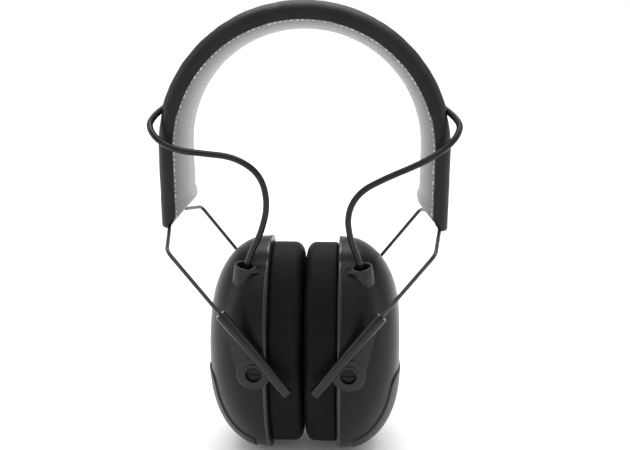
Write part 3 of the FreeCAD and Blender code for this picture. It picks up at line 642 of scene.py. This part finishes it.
def make_upper_cover():
    """The leatherette channel over the crown, with a rolled edge and a lapped end."""
    band = settings("band")
    outer = band.outer_r + band.lift
    half = band.half_width + 0.0001
    shape = rounded_outline(band.inner_r - 0.0001, outer, half, band.corner, 0.0005)
    quarter = len(shape) // 4
    channel = shape[3 * quarter:] + shape[:3 * quarter]
    channel = [spot for spot in filled_out(channel, 0.0018)
               if not (abs(spot[1]) < half - band.wall and spot[0] < band.inner_r + 0.0004)]
    start = max(range(len(channel)), key=lambda k: math.dist(channel[k], channel[k - 1]))
    channel = channel[start:] + channel[:start]
    inner = []
    for radius, y in channel:
        past_r = radius - (outer - band.corner)
        past_y = abs(y) - (half - band.corner)
        if past_r > 0 and past_y > 0:
            keep = 1 - band.wall / band.corner
            inner.append((outer - band.corner + past_r * keep,
                          math.copysign(half - band.corner + past_y * keep, y)))
        else:
            inner.append((min(radius, outer - band.wall),
                          max(-half + band.wall, min(half - band.wall, y))))
    last_turn = math.pi / 2 - band.slit
    rings = []
    steps = 120
    for step in range(steps + 1):
        turn = -last_turn + 2 * last_turn * step / steps
        rings.append([on_band(turn, radius, y) for radius, y in channel + inner[::-1]])
    count = len(rings[0])
    points = [puckered(point, 0.00026, 190.0) for ring in rings for point in ring]
    faces = grid_faces(len(rings), count)
    faces += layer_ends(len(points), count)
    cover = piece("crown_cover", points, faces, "cover", 60.0)
    outward(cover)
    bends_at_crown(cover, outer, "right_upper_cover", "left_upper_cover")
    return cover


def lining_stations():
    """Stations along the whole band: (side, share of the leg) or a turn on the arch."""
    leg_steps = 30
    arch_steps = 132
    stations = [(-1, 1 - step / leg_steps) for step in range(leg_steps)]
    stations += [(0, -math.pi / 2 + math.pi * step / arch_steps) for step in range(arch_steps + 1)]
    stations += [(1, (step + 1) / leg_steps) for step in range(leg_steps)]
    return stations


def on_station(kind, value, radius, y, lowest=1.0):
    """A point at one station of the band."""
    return on_leg(kind, min(value, lowest), radius, y) if kind else on_band(value, radius, y)


def bends_at_crown(made, height, *replaced):
    """Bake a piece that runs over the crown into place, and hide the nodes it replaces."""
    reach = settings("band").crown_reach
    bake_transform(made)
    if replaced:
        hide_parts(*replaced)


def make_lining():
    """The padded knitted lining: fullest along its middle, gathered at both ends."""
    band = settings("band")
    across = 44
    back = 0.0016
    rings = []
    weave = []
    run = 0.0
    last = None
    for kind, value in lining_stations():
        ring = []
        near_end = max(0.0, (value - 0.72) / 0.28) if kind else 0.0
        gather = math.sin(near_end * math.pi * 0.8) * 0.0012
        close = max(0.0, (value - 0.90) / 0.10) if kind else 0.0
        fall = 1 - close ** 3 * 0.85
        for step in range(across + 1):
            u = -1 + 2 * step / across
            fullness = (1 - abs(u) ** 2.5) ** 0.8
            bulge = (band.inner_r - 0.0002 - band.lining_r + gather) * fullness * fall
            folds = noise.noise(Vector((u * 9.0, value * 1.4, kind * 7.3)))
            bulge += folds * 0.0005 * near_end * fullness
            radius = band.inner_r - 0.0002 - bulge
            ring.append(on_station(kind, value, radius, u * band.lining_half, 0.985))
        edge = ring[across // 2]
        run += (edge - last).length if last else 0.0
        last = edge
        weave.append(run)
        for step in range(across, -1, -1):
            u = -1 + 2 * step / across
            ring.append(on_station(kind, value, band.inner_r + back, u * band.lining_half, 0.985))
        rings.append(ring)
    count = len(rings[0])
    points = [point for ring in rings for point in ring]
    faces = grid_faces(len(rings), count)
    faces += layer_ends(len(points), count)
    lining = piece("band_lining", points, faces, "lining", 60.0)
    weave_map = lining.data.uv_layers.new(name="weave")
    edge_shade_map = lining.data.uv_layers.new(name="across")
    loops_per_m = 330.0
    for loop in lining.data.loops:
        row, column = divmod(loop.vertex_index, count)
        spot = lining.data.vertices[loop.vertex_index].co
        weave_map.data[loop.index].uv = (weave[row] * loops_per_m, spot.y * loops_per_m)
        # The 'across' map carries the lining's painted edge shade: 1 along its middle, 0 at both
        # edges.
        edge_shade_map.data[loop.index].uv = (1 - abs(spot.y) / band.lining_half, 0.0)
    outward_keep(lining)
    bends_at_crown(lining, band.arch_z + band.lining_r, "right_band_lining", "left_band_lining")
    return lining


def outward_keep(made):
    """Turn every face outwards without merging points, so that UVs stay."""
    work = bmesh.new()
    work.from_mesh(made.data)
    bmesh.ops.recalc_face_normals(work, faces=work.faces)
    work.to_mesh(made.data)
    work.free()


def make_core():
    """The foam core between cover and lining."""
    band = settings("band")
    outline = filled_out(rounded_outline(band.inner_r + 0.0018, band.outer_r - 0.0016,
                                         band.half_width - 0.0016, 0.002, 0.001, 30.0), 0.006)
    rings = []
    for kind, value in lining_stations()[::3]:
        rings.append([on_station(kind, value, radius, y, 0.9) for radius, y in outline])
    points = [point for ring in rings for point in ring]
    count = len(outline)
    faces = grid_faces(len(rings), count)
    faces += [tuple(range(count)), tuple(range(len(points) - count, len(points)))]
    core = piece("band_core", points, faces, "foam")
    outward(core)
    bends_at_crown(core, 0.22, "right_band_foam", "left_band_foam")
    return core


# ---- stitches -----------------------------------------------------------------------
def stitch_tree(material):
    """Nodes that lay small slanted stitches along a curve."""
    tree = bpy.data.node_groups.new("stitches_along_curve", "GeometryNodeTree")
    face = tree.interface
    face.new_socket("Geometry", in_out="INPUT", socket_type="NodeSocketGeometry")
    for name in ("Pitch", "Length", "Thickness", "Slant"):
        face.new_socket(name, in_out="INPUT", socket_type="NodeSocketFloat")
    face.new_socket("Seed", in_out="INPUT", socket_type="NodeSocketInt")
    face.new_socket("Geometry", in_out="OUTPUT", socket_type="NodeSocketGeometry")

    def node(kind, choices=None, values=None):
        return add_node(tree, kind, choices, values)

    source = node("NodeGroupInput")
    spots = node("GeometryNodeCurveToPoints", {"mode": "LENGTH"},
                 {"Curve": source.outputs["Geometry"], "Length": source.outputs["Pitch"]})
    ball = node("GeometryNodeMeshUVSphere", {}, {"Segments": 8, "Rings": 6, "Radius": 0.5})
    size = node("ShaderNodeCombineXYZ", {}, {"X": source.outputs["Thickness"],
                                             "Y": source.outputs["Thickness"],
                                             "Z": source.outputs["Length"]})
    wobble = node("FunctionNodeRandomValue", {"data_type": "FLOAT"},
                  {2: 0.5, 3: 1.25, "Seed": source.outputs["Seed"]})
    scale = node("ShaderNodeVectorMath", {"operation": "SCALE"},
                 {0: size.outputs[0], "Scale": wobble.outputs[1]})
    lean = node("FunctionNodeRandomValue", {"data_type": "FLOAT"},
                {2: 0.4, 3: 1.6, "Seed": source.outputs["Seed"]})
    slant = node("ShaderNodeMath", {"operation": "MULTIPLY"},
                 {0: source.outputs["Slant"], 1: lean.outputs[1]})
    spin = node("ShaderNodeCombineXYZ", {}, {"X": slant.outputs[0]})
    turned = node("FunctionNodeRotateRotation", {"rotation_space": "LOCAL"},
                  {"Rotation": spots.outputs["Rotation"], "Rotate By": spin.outputs[0]})
    laid = node("GeometryNodeInstanceOnPoints", {},
                {"Points": spots.outputs["Points"], "Instance": ball.outputs["Mesh"],
                 "Rotation": turned.outputs[0], "Scale": scale.outputs[0]})
    real = node("GeometryNodeRealizeInstances", {}, {"Geometry": laid.outputs[0]})
    coated = node("GeometryNodeSetMaterial", {},
                  {"Geometry": real.outputs[0], "Material": material})
    smooth = node("GeometryNodeSetShadeSmooth", {}, {"Geometry": coated.outputs[0]})
    node("NodeGroupOutput", {}, {"Geometry": smooth.outputs[0]})
    return tree


def make_stitches(edge_name, y):
    """One row of stitches along an edge of the lining."""
    band = settings("band")
    sizes = settings("stitch")
    radius = band.inner_r - 0.0005
    curve = bpy.data.curves.new(edge_name, "CURVE")
    curve.dimensions = "3D"
    stations = lining_stations()
    spline = curve.splines.new("POLY")
    spline.points.add(len(stations) - 1)
    for control, (kind, value) in zip(spline.points, stations):
        control.co = (*on_station(kind, value, radius, y, 0.97), 1.0)
    holder = placed(edge_name + "_path", curve)
    tree = stitch_tree(look("thread"))
    modifier = holder.modifiers.new("stitches", "NODES")
    modifier.node_group = tree
    wanted = {"Pitch": sizes.pitch, "Length": sizes.size, "Thickness": sizes.thickness,
              "Slant": sizes.slant, "Seed": 7}
    for item in tree.interface.items_tree:
        if item.in_out == "INPUT" and item.name in wanted:
            modifier[item.identifier] = wanted[item.name]
    bpy.context.view_layer.update()
    evaluated = holder.evaluated_get(bpy.context.evaluated_depsgraph_get())
    mesh = bpy.data.meshes.new_from_object(evaluated)
    bpy.data.objects.remove(holder)
    row = placed(edge_name, mesh)
    bends_at_crown(row, 0.22)
    return row


# ---- cushions -----------------------------------------------------------------------
def on_oval(x, half_y, half_z, centre_z, step, count):
    """One of count points round an oval across the X axis."""
    turn = 2 * math.pi * step / count
    return Vector((x, half_y * math.cos(turn), centre_z + half_z * math.sin(turn)))


def oval_rings(profile, count, centre_z):
    """A ring-shaped grid: profile is (x, half y, half z) round the section."""
    return [[on_oval(x, half_y, half_z, centre_z, step, count) for x, half_y, half_z in profile]
            for step in range(count)]


def cushion_pattern():
    """The cushion's section before it is blown up, as (x, half y, half z)."""
    low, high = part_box("right_ear_cushion")
    sizes = settings("cushion")
    ear_y, ear_z = 0.020, 0.030
    x_front = low.x + sizes.inset
    x_back = high.x
    half_y = high.y - sizes.inset
    half_z = (high.z - low.z) / 2 - sizes.inset
    width = half_y - ear_y - sizes.inset
    outline = []
    for centre_x, centre_w, start in ((x_front + sizes.corner, width - sizes.corner, 90.0),
                                      (x_front + sizes.corner, sizes.corner, 180.0)):
        for step in range(7):
            turn = math.radians(start + 15.0 * step)
            outline.append((centre_x + sizes.corner * math.cos(turn),
                            centre_w + sizes.corner * math.sin(turn)))
    outline += [(x_back, 0.0), (x_back, width)]
    full = filled_out(outline, 0.0022)
    profile = []
    for x, w in full:
        share = w / width
        profile.append((x, ear_y + sizes.inset + w,
                        ear_z + sizes.inset + share * (half_z - ear_z - sizes.inset)))
    return profile, (low.z + high.z) / 2


def blown_up(made, pin_x):
    """Let cloth under pressure swell the pattern, and cap how far it moves."""
    sizes = settings("cushion")
    start = [vertex.co.copy() for vertex in made.data.vertices]
    pinned = made.vertex_groups.new(name="pinned")
    pinned.add([k for k, place in enumerate(start) if place.x > pin_x], 1.0, "REPLACE")
    cloth = made.modifiers.new("cloth", "CLOTH")
    cloth.settings.quality = 6
    cloth.settings.use_pressure = True
    cloth.settings.uniform_pressure_force = 4.0
    cloth.settings.effector_weights.gravity = 0.0
    cloth.settings.vertex_group_mass = "pinned"
    cloth.settings.tension_stiffness = 12.0
    cloth.settings.bending_stiffness = 0.4
    for number in range(1, 21):
        bpy.context.scene.frame_set(number)
    applied(made)
    bpy.context.scene.frame_set(1)
    for vertex, was in zip(made.data.vertices, start):
        move = vertex.co - was
        if move.length > sizes.most:
            vertex.co = was + move.normalized() * sizes.most
    made.vertex_groups.clear()
    return made


def padded_pair(pad, other_name, node):
    """Mirror a right-hand pad, hide the nodes that both replace, and attach each to its cup."""
    other = mirror_copy(pad, other_name)
    for made, (side_name, side) in zip((pad, other), SIDES):
        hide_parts(side_name + node)
        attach(made, side_name + "_cup")


def make_cushions():
    """The soft ring round each ear."""
    profile, centre_z = cushion_pattern()
    low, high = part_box("right_ear_cushion")
    count = 120
    rings = oval_rings(profile, count, centre_z)
    columns = len(profile)
    points = [point for ring in rings for point in ring] + rings[0]
    faces = grid_faces(count + 1, columns)
    pad = piece("right_cushion_pad", points, faces, "cushion")
    outward(pad)
    blown_up(pad, high.x - 0.0022)
    for vertex in pad.data.vertices:
        vertex.co.x = max(low.x, min(high.x, vertex.co.x))
        away = Vector((0, vertex.co.y, vertex.co.z - centre_z))
        reach = math.hypot(away.y / high.y, away.z / ((high.z - low.z) / 2))
        if reach > 1.0:
            vertex.co = Vector((vertex.co.x, away.y / reach, centre_z + away.z / reach))
    finer = pad.modifiers.new("finer", "SUBSURF")
    finer.levels = 1
    finer.render_levels = 1
    applied(pad)
    pad.data.polygons.foreach_set("use_smooth", [True] * len(pad.data.polygons))
    pad.data.materials.clear()
    pad.data.materials.append(look("cushion"))
    padded_pair(pad, "left_cushion_pad", "_ear_cushion")


def make_liners():
    """The thin foam pad that covers the plate inside each cushion."""
    low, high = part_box("right_foam_liner")
    centre_z = (low.z + high.z) / 2
    half_y, half_z = high.y - 0.0002, (high.z - low.z) / 2 - 0.0002
    rings = 12
    count = 72
    thick = high.x - low.x
    points = [Vector((low.x + 0.0006, 0, centre_z))]
    for ring in range(1, rings + 1):
        share = ring / rings
        x = low.x + 0.0006 + thick * 0.8 * max(0.0, share - 0.8) / 0.2 * share
        for step in range(count):
            spot = on_oval(x, half_y * share, half_z * share, centre_z, step, count)
            spot.x += noise.noise(spot * 160.0) * 0.0006 * (1 - share)
            points.append(spot)
    faces = [(0, 1 + step, 1 + (step + 1) % count) for step in range(count)]
    for ring in range(rings - 1):
        for step in range(count):
            a, b = 1 + ring * count + step, 1 + ring * count + (step + 1) % count
            faces.append((a, a + count, b + count, b))
    base = len(points)
    points += [on_oval(high.x, half_y, half_z, centre_z, step, count) for step in range(count)]
    edge = base - count
    faces += [(edge + step, base + step, base + (step + 1) % count, edge + (step + 1) % count)
              for step in range(count)]
    faces.append(tuple(range(base, base + count)))
    pad = piece("right_liner_pad", points, faces, "liner")
    outward(pad)
    padded_pair(pad, "left_liner_pad", "_foam_liner")


# ---- cables -------------------------------------------------------------------------
CABLE_SPLITS = {"left": (0.0655, 0.0618), "right": (0.0597, 0.0568)}


def make_cable(side_name, route):
    """A free cable in two lengths, cut at a set length along its route; the imported cable is hidden.
    """
    sizes = settings("cable")
    line = smooth_line(route, sizes.step)
    lower_length, upper_length = CABLE_SPLITS[side_name]
    cut = 1
    while line_length(line[:cut + 1]) < lower_length:
        cut += 1
    lower, upper = line[:cut + 1], line[cut:]
    print(side_name, "cable parts", round(line_length(lower), 4), round(line_length(upper), 4))
    radius = sizes.diameter / 2
    bottom = tube(side_name + "_cable_lower", lower, radius, "jacket")
    top = tube(side_name + "_cable_upper", upper, radius, "jacket")
    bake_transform(bottom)
    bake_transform(top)
    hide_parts(side_name + "_cable")


# ---- hard parts ---------------------------------------------------------------------
def crisp_copy(node, name, material, bevel, body, sharp_deg=32.0):
    """A copy of a hard node with softened edges that catch the light."""
    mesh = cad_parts[node].data.copy()
    copy = placed(name, mesh)
    mesh.materials.clear()
    mesh.materials.append(look(material))
    work = bmesh.new()
    work.from_mesh(mesh)
    bmesh.ops.remove_doubles(work, verts=work.verts, dist=2e-6)
    bmesh.ops.dissolve_limit(work, angle_limit=math.radians(0.6), verts=work.verts,
                             edges=work.edges)
    for face in work.faces:
        face.material_index = 0
        face.smooth = True
    work.to_mesh(mesh)
    work.free()
    if bevel:
        soft = copy.modifiers.new("soft_edges", "BEVEL")
        soft.width = bevel
        soft.segments = 2
        soft.limit_method = "ANGLE"
        soft.angle_limit = math.radians(sharp_deg)
        soft.harden_normals = False
        soft.use_clamp_overlap = True
        applied(copy)
    copy.data.polygons.foreach_set("use_smooth", [True] * len(copy.data.polygons))
    copy.data.set_sharp_from_angle(angle=math.radians(sharp_deg))
    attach(copy, body)
    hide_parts(node)
    return copy


def make_crisp_parts():
    """Soft-edged copies of the small hard parts that show from outside."""
    for side_name, side in SIDES:
        for place in ("_rear", "_front"):
            crisp_copy(side_name + place + "_bracket", side_name + place + "_arm", "bracket",
                       0.00025, side_name + "_brackets")
        crisp_copy(side_name + "_pivot_pins", side_name + "_pins", "pin", 0.00015,
                   side_name + "_cup")
        crisp_copy(side_name + "_cable_gland", side_name + "_gland", "gland", 0.0002,
                   side_name + "_cup")
    crisp_copy("right_panel", "right_cover_panel", "panel", 0.00025, "right_cup")
    crisp_copy("battery_door", "battery_lid", "panel", 0.00025, "battery_door")


def make_rim_beads():
    """The rounded bead round each shell's mouth, behind the cushion."""
    low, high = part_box("right_shell")
    centre_z = (low.z + high.z) / 2
    half_z = (high.z - low.z) / 2
    half_y = high.y
    section = []
    for step in range(12):
        turn = 2 * math.pi * step / 12
        across, out = 0.0008 * math.cos(turn), 0.0004 * math.sin(turn) - 0.00035
        section.append((low.x + 0.0008 + across, out))
    rings = []
    count = 160
    for step in range(count + 1):
        rings.append([on_oval(x, half_y + out, half_z + out, centre_z, step % count, count)
                      for x, out in section])
    points = [point for ring in rings for point in ring]
    bead = piece("right_rim_bead", points, grid_faces(count + 1, len(section)), "bead")
    outward(bead)
    other = mirror_copy(bead, "left_rim_bead")
    for made, (side_name, side) in zip((bead, other), SIDES):
        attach(made, side_name + "_cup")


def finish_nodes():
    """Give every hard node that keeps its own mesh its finish."""
    names = {
        "wire": ("rear_wire", "front_wire"), "jacket": ("band_cable",), "shell": ("shell",),
        "inner": ("inner_plate", "cushion_ring"), "metal": ("speaker", "microphone"),
        "screw": ("plate_screws",), "grille": ("microphone_grille",)}
    single = {
        "knob": ("volume_knob",), "pin": ("audio_jack",),
        "metal": ("volume_potentiometer",), "board": ("circuit_board",),
        "screw": ("board_screws", "door_hinge_pin"), "inner": ("battery_tray",),
        "battery": ("batteries",), "contact": ("contact_plates", "contact_springs")}
    pairs = [(finish, side + "_" + name) for finish, group in names.items() for name in group
             for side, sign in SIDES]
    pairs += [(finish, name) for finish, group in single.items() for name in group]
    for finish, name in pairs:
        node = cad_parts[name]
        if not node.material_slots:
            node.data.materials.append(None)
        for slot in node.material_slots:
            slot.link = "OBJECT"
            slot.material = look(finish)


# ---- stage --------------------------------------------------------------------------
def soft_light(name, place, aim, size, power, tint=(1.0, 1.0, 1.0)):
    """A rectangular soft light."""
    data = bpy.data.lights.new(name, "AREA")
    data.shape = "RECTANGLE"
    data.size, data.size_y = size
    data.energy = power
    data.color = tint
    lamp = placed(name, data)
    lamp.location = place
    lamp.rotation_euler = (Vector(aim) - Vector(place)).to_track_quat("-Z", "Y").to_euler()
    return lamp


def make_stage():
    """Pale floor, soft studio light and the camera."""
    scene = bpy.context.scene
    mesh = bpy.data.meshes.new("floor")
    reach = 60.0
    mesh.from_pydata([(-reach, -reach, -0.0004), (reach, -reach, -0.0004), (reach, reach, -0.0004),
                      (-reach, reach, -0.0004)], [], [(0, 1, 2, 3)])
    floor = placed("floor", mesh)
    paper = Look("floor_paper", roughness=0.9, specular_ior_level=0.1)
    fibres = paper.noise(60.0, 3.0)
    shade = settings("finishes").floor
    paper.finish(base_color=paper.blend(fibres, rgba(shade, 0.985), rgba(shade, 1.015)))
    mesh.materials.append(paper.material)
    world = bpy.data.worlds.new("studio")
    world.use_nodes = True
    sky = world.node_tree
    coords = add_node(sky, "ShaderNodeTexCoord")
    split = add_node(sky, "ShaderNodeSeparateXYZ", {}, {0: coords.outputs["Generated"]})
    ramp = add_node(sky, "ShaderNodeValToRGB", {}, {0: split.outputs["Z"]})
    for place, bright in ((0.06, 1.0), (0.2, 0.8), (0.6, 0.7)):
        ramp.color_ramp.elements.new(place).color = (bright, bright, bright * 1.01, 1.0)
    ramp.color_ramp.elements[0].color = (1.0, 1.0, 1.0, 1.0)
    ramp.color_ramp.elements[-1].color = (1.6, 1.6, 1.6, 1.0)
    feed(sky, sky.nodes["Background"].inputs["Color"], ramp.outputs[0])
    scene.world = world
    sun_data = bpy.data.lights.new("overhead", "SUN")
    sun_data.energy = 1.35
    sun_data.angle = math.radians(70)
    sun = placed("overhead", sun_data)
    sun.rotation_euler = (math.radians(-14), 0, 0)
    soft_light("top_box", (0.0, 0.15, 0.85), (0, 0, 0.1), (0.9, 0.6), 4.0)
    soft_light("left_strip", (-0.75, -0.1, 0.35), (0, 0, 0.1), (0.25, 0.8), 1.2)
    soft_light("right_strip", (0.75, -0.1, 0.35), (0, 0, 0.1), (0.25, 0.8), 0.8)
    camera_data = bpy.data.cameras.new("camera")
    camera_data.lens = 47.03
    camera_data.sensor_width = 36.0
    camera_data.clip_start = 0.01
    camera_data.clip_end = 200.0
    camera = placed("camera", camera_data)
    camera.location = (0.0234, -0.3993, 0.2245)
    camera.rotation_euler = (math.radians(75.28), 0, math.radians(2.69))
    scene.camera = camera
    scene.view_settings.view_transform = "Standard"


# ---- operators ----------------------------------------------------------------------
class Maker(bpy.types.Operator):
    """What the operators below share."""
    bl_options = {"REGISTER", "UNDO"}

    def execute(self, context):
        self.make()
        return {"FINISHED"}


class EARMUFF_OT_stage(Maker):
    """Make the floor, the lights and the camera."""
    bl_idname = "earmuff.stage"
    bl_label = "Stage"

    def make(self):
        make_stage()


class EARMUFF_OT_cables(Maker):
    """Make the two free cables."""
    bl_idname = "earmuff.cables"
    bl_label = "Cables"

    def make(self):
        make_cable("left", LEFT_ROUTE)
        make_cable("right", RIGHT_ROUTE)


class EARMUFF_OT_covers(Maker):
    """Make the headband's cover and core."""
    bl_idname = "earmuff.covers"
    bl_label = "Headband cover"

    def make(self):
        make_upper_cover()
        for side_name, side in SIDES:
            make_side_cover(side_name, side)
        make_core()


class EARMUFF_OT_lining(Maker):
    """Make the headband's lining."""
    bl_idname = "earmuff.lining"
    bl_label = "Headband lining"

    def make(self):
        make_lining()


class EARMUFF_OT_stitches(Maker):
    """Make the stitches along both edges of the lining."""
    bl_idname = "earmuff.stitches"
    bl_label = "Stitches"

    def make(self):
        band = settings("band")
        seam = band.half_width - 0.0002
        make_stitches("rear_stitches", -seam)
        make_stitches("front_stitches", seam)


class EARMUFF_OT_cushions(Maker):
    """Make the ear cushions and the foam pads inside them."""
    bl_idname = "earmuff.cushions"
    bl_label = "Cushions"

    def make(self):
        make_cushions()
        make_liners()


class EARMUFF_OT_hard_parts(Maker):
    """Finish the shells, brackets, wires and the small hard parts."""
    bl_idname = "earmuff.hard_parts"
    bl_label = "Hard parts"

    def make(self):
        finish_nodes()
        make_crisp_parts()
        make_rim_beads()


class EARMUFF_PT_panel(bpy.types.Panel):
    """The earmuff's makers and sizes."""
    bl_idname = "EARMUFF_PT_panel"
    bl_label = "Earmuff"
    bl_space_type = "VIEW_3D"
    bl_region_type = "UI"
    bl_category = "Earmuff"

    def draw(self, context):
        for maker in MAKERS:
            self.layout.operator(maker.bl_idname)
        for name, group in GROUPS.items():
            box = self.layout.box()
            box.label(text=name.title())
            for key in group.__annotations__:
                box.prop(settings(name), key)


GROUPS = {"band": BandSizes, "stitch": StitchSizes, "cushion": CushionSizes, "cable": CableSizes,
          "finishes": Finishes}
MAKERS = (EARMUFF_OT_stage, EARMUFF_OT_cables, EARMUFF_OT_covers, EARMUFF_OT_lining,
          EARMUFF_OT_stitches, EARMUFF_OT_cushions, EARMUFF_OT_hard_parts)


def register():
    """Register the property groups, the operators and the panel."""
    for name, group in GROUPS.items():
        bpy.utils.register_class(group)
        setattr(bpy.types.Scene, "earmuff_" + name, bpy.props.PointerProperty(type=group))
    for maker in MAKERS:
        bpy.utils.register_class(maker)
    bpy.utils.register_class(EARMUFF_PT_panel)


def unregister():
    """Undo register."""
    bpy.utils.unregister_class(EARMUFF_PT_panel)
    for maker in reversed(MAKERS):
        bpy.utils.unregister_class(maker)
    for name, group in GROUPS.items():
        delattr(bpy.types.Scene, "earmuff_" + name)
        bpy.utils.unregister_class(group)


def main():
    """Make everything."""
    register()
    bpy.ops.earmuff.stage()
    bpy.ops.earmuff.cables()
    bpy.ops.earmuff.covers()
    bpy.ops.earmuff.lining()
    bpy.ops.earmuff.stitches()
    bpy.ops.earmuff.cushions()
    bpy.ops.earmuff.hard_parts()


if __name__ == "__main__":
    main()
